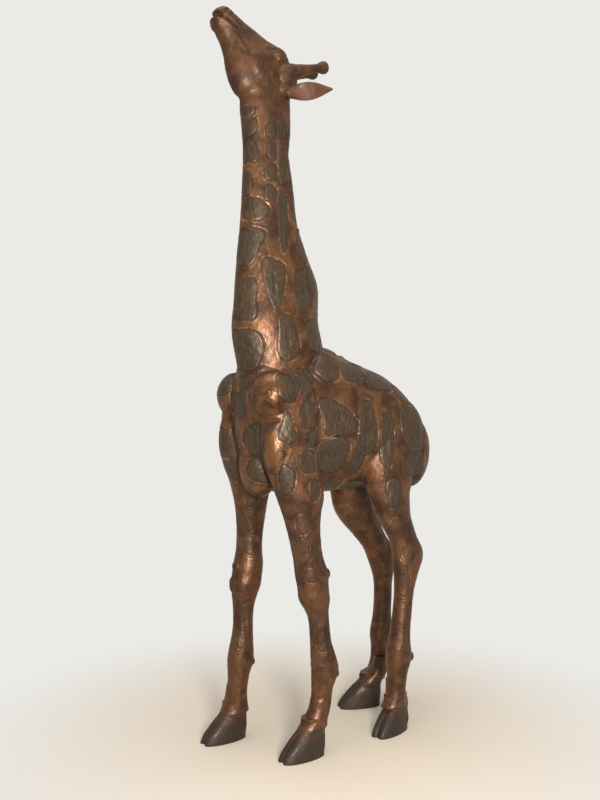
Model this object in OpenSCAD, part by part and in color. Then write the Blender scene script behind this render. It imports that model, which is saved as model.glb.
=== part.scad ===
// Standing giraffe statue, lost-wax bronze.
// Hollow castings, each with a spigot lip that plugs into its neighbour, closed by a chased weld bead.
// +Z is up, the animal faces -Y, its left side is +X. The four soles rest on Z = 0.

/* [Overall size] */
// Height from the soles to the top of the raised muzzle (mm)
statue_height = 2235; // [1800:5:2600]
// Length from the chin to the back of the tail (mm)
statue_length = 813; // [650:1:980]
// Width across the outer edges of the hooves (mm)
statue_width = 330; // [260:1:400]

/* [Casting] */
// Wall thickness of the hollow castings (mm)
wall = 4; // [3:0.5:6]
// Wall thickness of a hoof shell (mm)
hoof_wall = 6; // [4:0.5:9]
// Thickness of the sole of a hoof (mm)
sole = 10; // [6:1:16]

/* [Joints] */
// How far a spigot lip reaches into the next casting (mm)
lip_length = 15; // [10:1:30]
// Thickness of a spigot lip (mm)
lip_wall = 3; // [2:0.5:4]
// Gap round a spigot lip (mm)
lip_gap = 0.4; // [0.2:0.1:1]
// Height of a chased weld bead (mm)
bead = 6; // [3:0.5:10]
// Radius of the peg under an ear, a horn or the tail (mm)
peg_radius = 9; // [6:0.5:12]
// Length of that peg (mm)
peg_length = 16; // [10:1:24]
// Gap round that peg (mm)
peg_gap = 0.4; // [0.2:0.1:1]

/* [Joint heights] */
// Height of the joint between head and neck (mm)
head_joint = 1960; // [1920:5:1975]
// Height of the joint in the middle of the neck (mm)
neck_joint = 1570; // [1450:5:1700]
// Height of the joint at the foot of the neck (mm)
neck_base_joint = 1250; // [1245:1:1290]
// Distance of the joint across the belly from the middle of the length (mm)
belly_joint = 40; // [20:1:60]
// Height of the joints at the tops of the legs (mm)
leg_top_joint = 757; // [735:1:760]
// Height of the joints below the knees and hocks (mm)
leg_mid_joint = 425; // [400:1:445]
// Height of the joints above the hooves (mm)
hoof_joint = 90; // [86:1:96]

/* [Hooves] */
// Width of the cleft between the two claws of a hoof (mm)
cleft_width = 5; // [3:0.5:8]
// How far the left hind hoof turns out (degrees)
left_hind_turn = 14; // [0:1:30]
// How far the right hind hoof turns out (degrees)
right_hind_turn = 20; // [0:1:30]

/* [Ears and horns] */
// Length of an ear (mm)
ear_length = 130; // [100:1:160]
// Length of a horn (mm)
horn_length = 118; // [90:1:150]

/* [Facets] */
// Points round the trunk, neck and head
n_body = 28; // [20:4:40]
// Points round a leg
n_leg = 18; // [12:2:24]

/* [Hidden] */
kx = statue_width / 330;
ky = statue_length / 813;
kz = statue_height / 2235;
fit = wall + lip_gap;
deep = fit + lip_wall;
half_bead = bead / 2;

// Each section of the animal: [x, y, z, half width, half depth, tilt, turn].
// The leg tables run upward, the neck table upward, the trunk table backward.
neck_t = [
  [0, -150, 1100, 100, 148], [0, -166, 1200, 100, 154], [0, -184, 1283, 95, 150],
  [0, -186, 1350, 88, 143], [0, -200, 1430, 78, 122], [0, -213, 1520, 67, 105],
  [0, -216, 1620, 59, 90], [0, -218, 1720, 53, 82], [0, -221, 1820, 50, 77],
  [0, -221, 1900, 53, 83], [0, -224, 1990, 57, 86]];

trunk_t = [
  [0, -328, 1062, 38, 66], [0, -310, 1052, 82, 140], [0, -285, 1040, 105, 190],
  [0, -250, 1022, 122, 222], [0, -150, 1010, 138, 238], [0, -40, 1003, 146, 230],
  [0, 60, 990, 152, 214], [0, 150, 978, 155, 198], [0, 230, 962, 150, 180],
  [0, 300, 945, 132, 140], [0, 340, 935, 108, 108], [0, 366, 925, 68, 66],
  [0, 374, 920, 34, 34]];

head_t = [
  [0, -222, 2000, 58, 95, -20], [0, -222, 2036, 62, 112, -34], [0, -236, 2063, 66, 122, -38],
  [0, -264, 2085, 62, 110, -38], [0, -292, 2110, 55, 88, -38], [0, -316, 2140, 46, 68, -41],
  [0, -344, 2165, 40, 54, -45], [0, -368, 2186, 37, 46, -50], [0, -386, 2204, 32, 37, -56],
  [0, -394, 2211, 20, 18, -60]];

left_fore_t = [
  [125, -133, 86, 35, 48], [125, -121, 105, 33, 36], [125, -106, 140, 30, 33],
  [125, -98, 195, 32, 34], [125, -90, 250, 38, 44], [124, -97, 310, 35, 38],
  [123, -105, 360, 30, 31], [122, -113, 420, 33, 34], [119, -125, 465, 43, 50],
  [118, -129, 500, 45, 53], [118, -134, 543, 45, 55], [118, -150, 600, 43, 48],
  [115, -160, 670, 44, 52], [112, -166, 730, 48, 66], [109, -168, 776, 54, 80],
  [102, -188, 860, 60, 86], [98, -208, 930, 58, 86], [92, -222, 985, 52, 74],
  [84, -232, 1025, 36, 50], [80, -236, 1045, 18, 24]];

right_fore_t = [
  [-123, -257, 86, 35, 48], [-122, -252, 105, 33, 36], [-121, -252, 140, 31, 33],
  [-121, -246, 195, 34, 35], [-121, -239, 250, 39, 43], [-121, -234, 310, 34, 36],
  [-120, -230, 370, 31, 33], [-120, -227, 420, 33, 36], [-118, -224, 455, 39, 43],
  [-117, -220, 498, 45, 53], [-118, -212, 545, 45, 49], [-118, -209, 600, 41, 42],
  [-116, -207, 660, 42, 45], [-113, -205, 720, 45, 52], [-110, -206, 765, 50, 59],
  [-106, -209, 820, 56, 76], [-101, -225, 870, 58, 84], [-98, -238, 930, 58, 88],
  [-92, -246, 985, 52, 76], [-84, -250, 1025, 36, 50], [-80, -250, 1045, 18, 24]];

left_hind_t = [
  [124, 190, 86, 35, 45], [125, 193, 105, 33, 37], [125, 198, 140, 30, 33],
  [125, 203, 190, 33, 34], [124, 209, 250, 39, 43], [125, 214, 320, 32, 34],
  [125, 222, 380, 30, 32], [125, 232, 450, 31, 34], [124, 241, 510, 37, 44],
  [122, 250, 555, 42, 56], [121, 246, 590, 42, 55], [119, 225, 630, 42, 53],
  [114, 198, 685, 46, 61], [109, 186, 735, 51, 70], [106, 183, 765, 54, 78],
  [100, 181, 820, 60, 100], [94, 188, 900, 64, 122], [87, 200, 970, 58, 104],
  [78, 212, 1035, 42, 76], [70, 218, 1070, 20, 36]];

right_hind_t = [
  [-123, 310, 86, 35, 47], [-124, 322, 105, 34, 40], [-125, 338, 140, 31, 33],
  [-125, 344, 195, 34, 36], [-125, 347, 245, 38, 41], [-125, 351, 310, 31, 33],
  [-125, 355, 370, 30, 33], [-125, 356, 425, 31, 35], [-124, 352, 470, 37, 45],
  [-122, 342, 515, 41, 54], [-121, 322, 555, 41, 58], [-119, 280, 600, 42, 66],
  [-115, 240, 650, 45, 80], [-111, 222, 690, 48, 90], [-108, 212, 735, 52, 94],
  [-106, 209, 765, 54, 97], [-100, 212, 820, 60, 108], [-94, 222, 900, 64, 122],
  [-87, 224, 970, 58, 104], [-78, 226, 1035, 42, 76], [-70, 226, 1070, 20, 36]];

// Hoof sections, relative to the centre of the sole: [forward shift, height, half width, half length].
hoof_t = [[0, 0, 37, 77], [-1, 12, 38, 77], [-15, 42, 38, 67], [-29, 70, 37, 58]];

function level(s) = [s[0] * kx, s[1] * ky, s[2] * kz, s[3] * kx, s[4] * ky,
                     len(s) > 5 ? s[5] : 0, len(s) > 6 ? s[6] : 0];
function upright(s) = [s[0] * kx, s[1] * ky, s[2] * kz, s[3] * kx, s[4] * kz, 90, 0];
function levels(t) = [for (s = t) level(s)];
function uprights(t) = [for (s = t) upright(s)];
function between(a, b, f) = a + (b - a) * f;
function at(t, v, k = 2, i = 0) = (v <= t[i + 1][k] || i >= len(t) - 2)
  ? between(t[i], t[i + 1], (v - t[i][k]) / (t[i + 1][k] - t[i][k])) : at(t, v, k, i + 1);
function part_of(t, a, b, k = 2) = concat([at(t, a, k)],
  [for (s = t) if (s[k] > a + 4 && s[k] < b - 4) s], [at(t, b, k)]);
function flip(v) = [for (i = [len(v) - 1:-1:0]) v[i]];
function ring(s, off, n) = [for (i = [0:n - 1])
  let (th = 360 * i / n, u = (s[3] - off) * cos(th), w = (s[4] - off) * sin(th),
       f = w * cos(s[5]), q = s[6])
  [s[0] + u * cos(q) - f * sin(q), s[1] + u * sin(q) + f * cos(q), s[2] - w * sin(s[5])]];

neck = levels(neck_t);
trunk = uprights(trunk_t);
head_s = levels(head_t);
left_fore = levels(left_fore_t);
right_fore = levels(right_fore_t);
left_hind = levels(left_hind_t);
right_hind = levels(right_hind_t);

// A closed shell: rings joined in turn, the last one back to the first.
module shell(profile, n) {
  m = len(profile);
  polyhedron(points = [for (p = profile) each ring(p[0], p[1], n)],
    faces = [for (i = [0:m - 1]) for (j = [0:n - 1])
      let (a = i * n + j, b = ((i + 1) % m) * n + j,
           c = ((i + 1) % m) * n + (j + 1) % n, d = i * n + (j + 1) % n)
      each [[a, b, c], [a, c, d]]], convexity = 6);
}

// A solid bar: rings joined in turn and closed by a flat cap at each end.
module bar(rings, n) {
  m = len(rings);
  polyhedron(points = [for (r = rings) each r],
    faces = concat([[for (j = [0:n - 1]) j]], [[for (j = [n - 1:-1:0]) (m - 1) * n + j]],
      [for (i = [0:m - 2]) for (j = [0:n - 1])
        let (a = i * n + j, b = (i + 1) * n + j, c = (i + 1) * n + (j + 1) % n,
             d = i * n + (j + 1) % n)
        each [[a, b, c], [a, c, d]]]), convexity = 6);
}

// The skin between neighbouring sections, as one convex piece per pair.
module chain(sections, off, n) {
  for (i = [0:len(sections) - 2]) hull()
    polyhedron(points = concat(ring(sections[i], off, n), ring(sections[i + 1], off, n)),
      faces = [[for (j = [0:n - 1]) j], [for (j = [0:n - 1]) n + j]]);
}

// A tube from height a to height b of a table, open below, with a spigot lip standing on its top.
module lipped_tube(t, a, b, n) {
  outer = part_of(t, a, b);
  inner = flip(part_of(t, a, b - lip_length - 5));
  shell(concat([for (s = outer) [s, 0]],
    [[at(t, b), fit], [at(t, b + lip_length), fit], [at(t, b + lip_length), deep],
     [at(t, b - lip_length), deep]], [for (s = inner) [s, wall]]), n);
}

// A weld bead that fills the groove at height v of a table, over the spigot lip.
module weld_ring(t, v, n, k = 2) {
  lo = at(t, v - half_bead, k);
  hi = at(t, v + half_bead, k);
  shell([[lo, 0], [hi, 0], [hi, wall], [lo, wall]], n);
}

// The stub of a leg that the body casting carries.
module leg_stub(t, off, extra) {
  chain(part_of(t, leg_top_joint * kz + half_bead - extra, t[len(t) - 1][2] - off), off, n_leg);
}

module bronze() { color([0.31, 0.19, 0.13]) children(); }
module dark_bronze() { color([0.17, 0.15, 0.13]) children(); }
module bead_bronze() { color([0.42, 0.27, 0.17]) children(); }

// ---- body castings ----
module shoulders(off) {
  for (s = [[90, -236, 1086], [-90, -248, 1086]])
    translate([s[0] * kx, s[1] * ky, s[2] * kz]) scale([66 - off, 76 - off, 84 - off])
      rotate([0, 0, 11.25]) sphere(r = 1, $fn = 20);
}

module forequarters() {
  rear = belly_joint * ky - half_bead;
  top = neck_base_joint * kz - half_bead;
  front = trunk[0][1];
  bronze() difference() {
    union() {
      chain(part_of(trunk, front, rear, 1), 0, n_body);
      chain([at(trunk, rear, 1), at(trunk, rear + lip_length, 1)], fit, n_body);
      chain(part_of(neck, neck[0][2], top), 0, n_body);
      chain([at(neck, top), at(neck, top + lip_length)], fit, n_body);
      shoulders(0);
      leg_stub(left_fore, 0, 0);
      leg_stub(right_fore, 0, 0);
    }
    chain(part_of(trunk, front + wall, rear - lip_length, 1), wall, n_body);
    chain([at(trunk, rear - lip_length, 1), at(trunk, rear + lip_length + 1, 1)], deep, n_body);
    chain(part_of(neck, neck[0][2], top - lip_length), wall, n_body);
    chain([at(neck, top - lip_length), at(neck, top + lip_length + 1)], deep, n_body);
    shoulders(wall);
    leg_stub(left_fore, wall, 1);
    leg_stub(right_fore, wall, 1);
  }
}

module tail_place() { translate([0, 377 * ky, 985 * kz]) rotate([-96, 0, 0]) children(); }

module hindquarters() {
  front = belly_joint * ky + half_bead;
  last = trunk[len(trunk) - 1][1];
  bronze() difference() {
    union() {
      difference() {
        union() {
          chain(part_of(trunk, front, last, 1), 0, n_body);
          leg_stub(left_hind, 0, 0);
          leg_stub(right_hind, 0, 0);
        }
        chain(part_of(trunk, front - 1, last - wall, 1), wall, n_body);
        leg_stub(left_hind, wall, 1);
        leg_stub(right_hind, wall, 1);
      }
      tail_place() translate([0, 0, -34]) cylinder(h = 34, r = 17, $fn = 20);
    }
    tail_place() translate([0, 0, -peg_length - 2])
      cylinder(h = peg_length + 4, r = peg_radius + peg_gap, $fn = 20);
  }
}

// ---- neck ----
module neck_lower() {
  bronze() lipped_tube(neck, neck_base_joint * kz + half_bead, neck_joint * kz - half_bead, n_body);
}

module neck_upper() {
  bronze() lipped_tube(neck, neck_joint * kz + half_bead, head_joint * kz - half_bead, n_body);
}

// ---- head ----
module horn_place() { translate([30 * kx, -120 * ky, 2104 * kz]) rotate([-81, 0, -3]) children(); }

module ear_place() { translate([52 * kx, -156 * ky, 2016 * kz]) rotate([-82, 0, -22]) children(); }

module both_sides() { for (m = [0, 1]) mirror([m, 0, 0]) children(); }

module head() {
  foot = head_joint * kz + half_bead;
  skin = concat([at(neck, foot)], head_s);
  lining = concat([at(neck, foot - 1), at(neck, foot + 6)], [for (i = [0:6]) head_s[i]]);
  bronze() difference() {
    union() {
      difference() { chain(skin, 0, n_body); chain(lining, wall, n_body); }
      both_sides() {
        horn_place() translate([0, 0, -28]) cylinder(h = 28, r = 19, $fn = 20);
        ear_place() translate([0, 0, -34]) cylinder(h = 34, r = 18, $fn = 20);
        translate([50 * kx, -212 * ky, 2102 * kz]) sphere(r = 13, $fn = 12);
      }
    }
    both_sides() {
      horn_place() translate([0, 0, -peg_length - 2])
        cylinder(h = peg_length + 4, r = peg_radius + peg_gap, $fn = 20);
      ear_place() translate([0, 0, -peg_length - 2])
        cylinder(h = peg_length + 4, r = peg_radius + peg_gap, $fn = 20);
    }
    // the parted lips
    translate([0, -403 * ky, 2203 * kz]) rotate([-36, 0, 0])
      scale([40, 34, 3]) sphere(r = 1, $fn = 12);
  }
}

function disc(z, a, b, n, dy = 0, cup = 0) = [for (i = [0:n - 1])
  let (th = 360 * i / n, y = b * sin(th)) [a * cos(th), dy + (y > 0 ? y * (1 - cup) : y), z]];

module horn() {
  k = horn_length / 118;
  n = 20;
  bar([for (s = [[-peg_length, peg_radius], [0, peg_radius], [0, 17], [20 * k, 16], [60 * k, 15],
    [86 * k, 16], [98 * k, 19], [108 * k, 19.5], [115 * k, 15], [118 * k, 7]])
    disc(s[0], s[1], s[1], n)], n);
}

module ear() {
  k = ear_length / 130;
  n = 20;
  bar([for (s = [[-peg_length, peg_radius, peg_radius, 0], [0, peg_radius, peg_radius, 0],
    [0, 17, 15, 0], [16 * k, 19, 13, 0.1], [38 * k, 25, 11, 0.8], [64 * k, 28, 10, 1.2],
    [90 * k, 23, 8, 1.1], [112 * k, 13, 6, 0.7], [126 * k, 5, 4, 0.2], [130 * k, 2, 2, 0]])
    disc(s[0], s[1], s[2], n, 0, s[3])], n);
}

module left_horn() { bronze() horn_place() horn(); }

module right_horn() { bronze() mirror([1, 0, 0]) horn_place() horn(); }

module left_ear() { bronze() ear_place() rotate([0, 0, 150]) ear(); }

module right_ear() { bronze() mirror([1, 0, 0]) ear_place() rotate([0, 0, 150]) ear(); }

// ---- tail ----
module tail() {
  path = [[389, 988, 16, 10], [393, 960, 13, 13], [393, 925, 13, 13], [388, 885, 12, 12],
    [378, 845, 11, 11], [364, 800, 10, 10], [350, 755, 10, 10], [342, 715, 12, 12],
    [340, 680, 16, 15], [342, 640, 17, 15], [345, 600, 13, 12], [347, 575, 4, 4]];
  bronze() {
    union() {
      tail_place() translate([0, 0, -peg_length]) cylinder(h = peg_length, r = peg_radius, $fn = 20);
      tail_place() cylinder(h = 10, r = 16, $fn = 20);
      for (i = [0:len(path) - 2]) hull() for (p = [path[i], path[i + 1]])
        translate([0, p[0] * ky, p[1] * kz]) scale([p[2], p[3], p[3]])
          rotate([0, 0, 15]) sphere(r = 1, $fn = 10);
    }
  }
}

// ---- legs ----
module upper_leg(t) {
  bronze() lipped_tube(t, leg_mid_joint * kz + half_bead, leg_top_joint * kz - half_bead, n_leg);
}

module lower_leg(t) {
  bronze() lipped_tube(t, hoof_joint * kz + half_bead, leg_mid_joint * kz - half_bead, n_leg);
}

// A cloven hoof with its spigot lip. x, y is the middle of the sole.
module hoof(t, x, y, turn) {
  top = hoof_joint * kz - half_bead;
  neck_s = at(t, top);
  lip_s = at(t, top + lip_length);
  skin = concat([for (h = hoof_t)
    let (f = h[0] / -29)
    [between(x * kx, neck_s[0], f * 0.62), between(y * ky, neck_s[1], f * 0.62), h[1] * kz,
     h[2] * kx, h[3] * ky, 0, turn * (1 - f)]], [neck_s]);
  dark_bronze() difference() {
    union() {
      chain(skin, 0, n_leg);
      chain([neck_s, lip_s], fit, n_leg);
    }
    chain([between(skin[0], skin[1], sole / 12), skin[2], skin[3]], hoof_wall, n_leg);
    chain([skin[3], neck_s], deep, n_leg);
    chain([neck_s, at(t, top + lip_length + 1)], deep, n_leg);
    // the cleft between the claws
    translate([x * kx, y * ky, 0]) rotate([0, 0, turn]) hull() {
      translate([-cleft_width / 2, -90, -1]) cube([cleft_width, 85, 8]);
      translate([-cleft_width / 2, -90, 34]) cube([cleft_width, 40, 1]);
    }
    translate([x * kx, y * ky, 0]) rotate([0, 0, turn]) hull() {
      translate([-cleft_width, -90, -1]) cube([cleft_width * 2, 22, 8]);
      translate([-1, -90, 40]) cube([2, 34, 1]);
    }
  }
}

module left_fore_upper_leg() { upper_leg(left_fore); }
module left_fore_lower_leg() { lower_leg(left_fore); }
module left_fore_hoof() { hoof(left_fore, 127, -173, 0); }
module right_fore_upper_leg() { upper_leg(right_fore); }
module right_fore_lower_leg() { lower_leg(right_fore); }
module right_fore_hoof() { hoof(right_fore, -127, -294, 0); }
module left_hind_upper_leg() { upper_leg(left_hind); }
module left_hind_lower_leg() { lower_leg(left_hind); }
module left_hind_hoof() { hoof(left_hind, 123, 176, left_hind_turn); }
module right_hind_upper_leg() { upper_leg(right_hind); }
module right_hind_lower_leg() { lower_leg(right_hind); }
module right_hind_hoof() { hoof(right_hind, -120, 246, -right_hind_turn); }

// ---- weld beads ----
module bead_level(t, v, n) { bead_bronze() weld_ring(t, v * kz, n); }

module head_weld() { bead_level(neck, head_joint, n_body); }
module neck_weld() { bead_level(neck, neck_joint, n_body); }
module neck_base_weld() { bead_level(neck, neck_base_joint, n_body); }
module belly_weld() { bead_bronze() weld_ring(trunk, belly_joint * ky, n_body, 1); }
module left_fore_top_weld() { bead_level(left_fore, leg_top_joint, n_leg); }
module left_fore_knee_weld() { bead_level(left_fore, leg_mid_joint, n_leg); }
module left_fore_hoof_weld() { bead_level(left_fore, hoof_joint, n_leg); }
module right_fore_top_weld() { bead_level(right_fore, leg_top_joint, n_leg); }
module right_fore_knee_weld() { bead_level(right_fore, leg_mid_joint, n_leg); }
module right_fore_hoof_weld() { bead_level(right_fore, hoof_joint, n_leg); }
module left_hind_top_weld() { bead_level(left_hind, leg_top_joint, n_leg); }
module left_hind_hock_weld() { bead_level(left_hind, leg_mid_joint, n_leg); }
module left_hind_hoof_weld() { bead_level(left_hind, hoof_joint, n_leg); }
module right_hind_top_weld() { bead_level(right_hind, leg_top_joint, n_leg); }
module right_hind_hock_weld() { bead_level(right_hind, leg_mid_joint, n_leg); }
module right_hind_hoof_weld() { bead_level(right_hind, hoof_joint, n_leg); }

head();
left_ear();
right_ear();
left_horn();
right_horn();
neck_upper();
neck_lower();
forequarters();
hindquarters();
tail();
left_fore_upper_leg();
left_fore_lower_leg();
left_fore_hoof();
right_fore_upper_leg();
right_fore_lower_leg();
right_fore_hoof();
left_hind_upper_leg();
left_hind_lower_leg();
left_hind_hoof();
right_hind_upper_leg();
right_hind_lower_leg();
right_hind_hoof();
head_weld();
neck_weld();
neck_base_weld();
belly_weld();
left_fore_top_weld();
left_fore_knee_weld();
left_fore_hoof_weld();
right_fore_top_weld();
right_fore_knee_weld();
right_fore_hoof_weld();
left_hind_top_weld();
left_hind_hock_weld();
left_hind_hoof_weld();
right_hind_top_weld();
right_hind_hock_weld();
right_hind_hoof_weld();
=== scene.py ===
"""Standing giraffe in lost-wax bronze.

The wax is lofted limb by limb, fused, chased with the coat pattern and cut at the foundry joints, so that
each casting and each weld bead is a piece of its own that stands for the solid of the same name.
Sizes are in millimetres unless a name or docstring says otherwise.
"""

import logging
import math
from dataclasses import dataclass, field, replace
from enum import Enum

import bpy
import numpy as np
from mathutils import Euler, Matrix, Vector

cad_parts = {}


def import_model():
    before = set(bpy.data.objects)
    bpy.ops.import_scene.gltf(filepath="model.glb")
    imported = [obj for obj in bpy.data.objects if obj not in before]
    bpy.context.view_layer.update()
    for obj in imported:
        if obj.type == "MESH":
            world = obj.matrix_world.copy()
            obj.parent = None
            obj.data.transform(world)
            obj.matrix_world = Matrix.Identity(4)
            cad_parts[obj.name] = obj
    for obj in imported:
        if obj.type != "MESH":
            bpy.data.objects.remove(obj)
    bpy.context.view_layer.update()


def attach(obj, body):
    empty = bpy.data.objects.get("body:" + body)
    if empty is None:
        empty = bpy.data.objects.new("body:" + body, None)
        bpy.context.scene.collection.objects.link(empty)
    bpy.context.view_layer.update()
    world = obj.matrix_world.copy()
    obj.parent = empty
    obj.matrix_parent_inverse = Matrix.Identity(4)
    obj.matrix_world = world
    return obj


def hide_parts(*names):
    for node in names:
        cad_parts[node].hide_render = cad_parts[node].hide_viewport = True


logging.basicConfig(level=logging.INFO, format="%(message)s")
LOG = logging.getLogger("giraffe")

MM = 0.001
BODY = "root"


class Side(Enum):
    """Which side of the animal a piece is on. Its left is +X."""

    LEFT = 1
    RIGHT = -1


class Slot(Enum):
    """The record's material slots."""

    BRONZE = "bronze"
    HOOF = "hoof_bronze"


# ---------------------------------------------------------------------------
# Mesh helpers
# ---------------------------------------------------------------------------


def deselect_all() -> None:
    """Leave edit mode and deselect every object."""
    if bpy.context.object and bpy.context.object.mode != "OBJECT":
        bpy.ops.object.mode_set(mode="OBJECT")
    bpy.ops.object.select_all(action="DESELECT")


def pick(obj: bpy.types.Object) -> bpy.types.Object:
    """Make one object the only selected and active one.

    Args:
        obj: The object to select.

    Returns:
        The same object.
    """
    deselect_all()
    obj.select_set(True)
    bpy.context.view_layer.objects.active = obj
    return obj


def blank(name: str) -> bpy.types.Object:
    """Add an empty mesh object and make it active."""
    obj = bpy.data.objects.new(name, bpy.data.meshes.new(name))
    bpy.context.scene.collection.objects.link(obj)
    return pick(obj)


def join(parts: list[bpy.types.Object], name: str) -> bpy.types.Object:
    """Join mesh objects into one.

    Args:
        parts: The objects to join.
        name: The name of the result.

    Returns:
        The joined object.
    """
    deselect_all()
    for part in parts:
        part.select_set(True)
    bpy.context.view_layer.objects.active = parts[0]
    if len(parts) > 1:
        bpy.ops.object.join()
    obj = bpy.context.object
    obj.name = name
    obj.data.name = name
    return obj


def fuse(obj: bpy.types.Object, voxel: float, rounds: int, factor: float = 0.5) -> None:
    """Fuse overlapping forms into one skin and relax its creases.

    Args:
        obj: The object that holds the forms.
        voxel: Size of the remesh voxels, in metres.
        rounds: Smoothing passes.
        factor: Strength of each pass.
    """
    pick(obj)
    obj.data.remesh_voxel_size = voxel
    obj.data.remesh_voxel_adaptivity = 0.0
    bpy.ops.object.voxel_remesh()
    if rounds:
        smooth = obj.modifiers.new("relax", "SMOOTH")
        smooth.iterations = rounds
        smooth.factor = factor
        bpy.ops.object.modifier_apply(modifier=smooth.name)


def coordinates(obj: bpy.types.Object) -> np.ndarray:
    """Read a mesh's points as an array of rows."""
    out = np.empty(len(obj.data.vertices) * 3, np.float32)
    obj.data.vertices.foreach_get("co", out)
    return out.reshape(-1, 3).astype(float)


def normals(obj: bpy.types.Object) -> np.ndarray:
    """Read a mesh's point normals as an array of rows."""
    out = np.empty(len(obj.data.vertices) * 3, np.float32)
    obj.data.vertex_normals.foreach_get("vector", out)
    return out.reshape(-1, 3).astype(float)


def place_points(obj: bpy.types.Object, points: np.ndarray) -> None:
    """Write a mesh's points back."""
    obj.data.vertices.foreach_set("co", points.astype(np.float32).ravel())
    obj.data.update()


def store(obj: bpy.types.Object, name: str, values: np.ndarray) -> None:
    """Keep one value per point as a mesh attribute for the materials."""
    layer = obj.data.attributes.get(name) or obj.data.attributes.new(name, "FLOAT", "POINT")
    layer.data.foreach_set("value", np.clip(values, 0.0, 1.0).astype(np.float32))


def step(low: float, high: float, x: np.ndarray) -> np.ndarray:
    """Smooth step from 0 at low to 1 at high."""
    t = np.clip((x - low) / (high - low), 0.0, 1.0)
    return t * t * (3.0 - 2.0 * t)


def bump(x: np.ndarray, width: float) -> np.ndarray:
    """Bell curve of the given half width."""
    return np.exp(-((x / width) ** 2))


# ---------------------------------------------------------------------------
# Forms of the wax
# ---------------------------------------------------------------------------


@dataclass(frozen=True)
class Section:
    """One cross-section of a limb, in millimetres and degrees."""

    x: float
    y: float
    z: float
    half_width: float
    half_depth: float
    tilt: float = 0.0


@dataclass(frozen=True)
class Mass:
    """One rounded muscle or bone, an ellipsoid in millimetres, turned by degrees about X and Z."""

    x: float
    y: float
    z: float
    rx: float
    ry: float
    rz: float
    pitch: float = 0.0
    yaw: float = 0.0

    def mirrored(self) -> "Mass":
        """Return the same mass on the other side."""
        return Mass(-self.x, self.y, self.z, self.rx, self.ry, self.rz, self.pitch, -self.yaw)


def loft(name: str, sections: list[Section], points: int = 40) -> bpy.types.Object:
    """Skin a row of oval sections and close both ends.

    Args:
        name: Name of the new object.
        sections: The cross-sections in order.
        points: Points round each section.

    Returns:
        A closed mesh object.
    """
    obj = blank(name)
    bpy.ops.object.mode_set(mode="EDIT")
    for k in range(len(sections)):
        bpy.ops.mesh.primitive_circle_add(vertices=points, radius=1.0, fill_type="NOTHING",
                                          location=(0.0, 0.0, k))
    bpy.ops.mesh.select_all(action="SELECT")
    bpy.ops.mesh.bridge_edge_loops()
    bpy.ops.mesh.select_all(action="DESELECT")
    bpy.ops.mesh.select_non_manifold()
    bpy.ops.mesh.edge_face_add()
    bpy.ops.object.mode_set(mode="OBJECT")
    unit = coordinates(obj)
    size = np.array([[s.x, s.y, s.z, s.half_width, s.half_depth, math.radians(s.tilt)] for s in sections])
    own = size[np.rint(unit[:, 2]).astype(int)]
    across, along = unit[:, 0] * own[:, 3], unit[:, 1] * own[:, 4]
    place_points(obj, np.stack([own[:, 0] + across, own[:, 1] + along * np.cos(own[:, 5]),
                                own[:, 2] - along * np.sin(own[:, 5])], axis=1) * MM)
    bpy.ops.object.mode_set(mode="EDIT")
    bpy.ops.mesh.select_all(action="SELECT")
    bpy.ops.mesh.normals_make_consistent(inside=False)
    bpy.ops.object.mode_set(mode="OBJECT")
    return obj


def lump(mass: Mass) -> bpy.types.Object:
    """Add one muscle mass as its own closed object."""
    obj = blank("mass")
    bpy.ops.object.mode_set(mode="EDIT")
    bpy.ops.mesh.primitive_uv_sphere_add(
        segments=32, ring_count=20, radius=1.0,
        location=(mass.x * MM, mass.y * MM, mass.z * MM),
        rotation=(math.radians(mass.pitch), 0.0, math.radians(mass.yaw)),
        scale=(mass.rx * MM, mass.ry * MM, mass.rz * MM))
    bpy.ops.object.mode_set(mode="OBJECT")
    return obj


def in_between(sections: list[Section], steps: int = 3) -> list[Section]:
    """Add evenly eased sections between the given ones.

    Args:
        sections: The measured sections.
        steps: How many spans each gap is divided into.

    Returns:
        A longer list that follows a smooth curve through the given sections.
    """
    rows = np.array([[s.x, s.y, s.z, s.half_width, s.half_depth, s.tilt] for s in sections])
    before = np.vstack([2 * rows[0] - rows[1], rows[:-1]])
    after = np.vstack([rows[1:], 2 * rows[-1] - rows[-2]])
    slope = (after - before) / 2.0
    out: list[Section] = []
    for i in range(len(rows) - 1):
        for k in range(steps):
            t = k / steps
            h0, h1 = 2 * t**3 - 3 * t**2 + 1, t**3 - 2 * t**2 + t
            h2, h3 = -2 * t**3 + 3 * t**2, t**3 - t**2
            row = h0 * rows[i] + h1 * slope[i] + h2 * rows[i + 1] + h3 * slope[i + 1]
            out.append(Section(*[float(v) for v in row]))
    out.append(sections[-1])
    return out


# ---------------------------------------------------------------------------
# Surface work: the coat pattern and the chased lines
# ---------------------------------------------------------------------------


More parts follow.
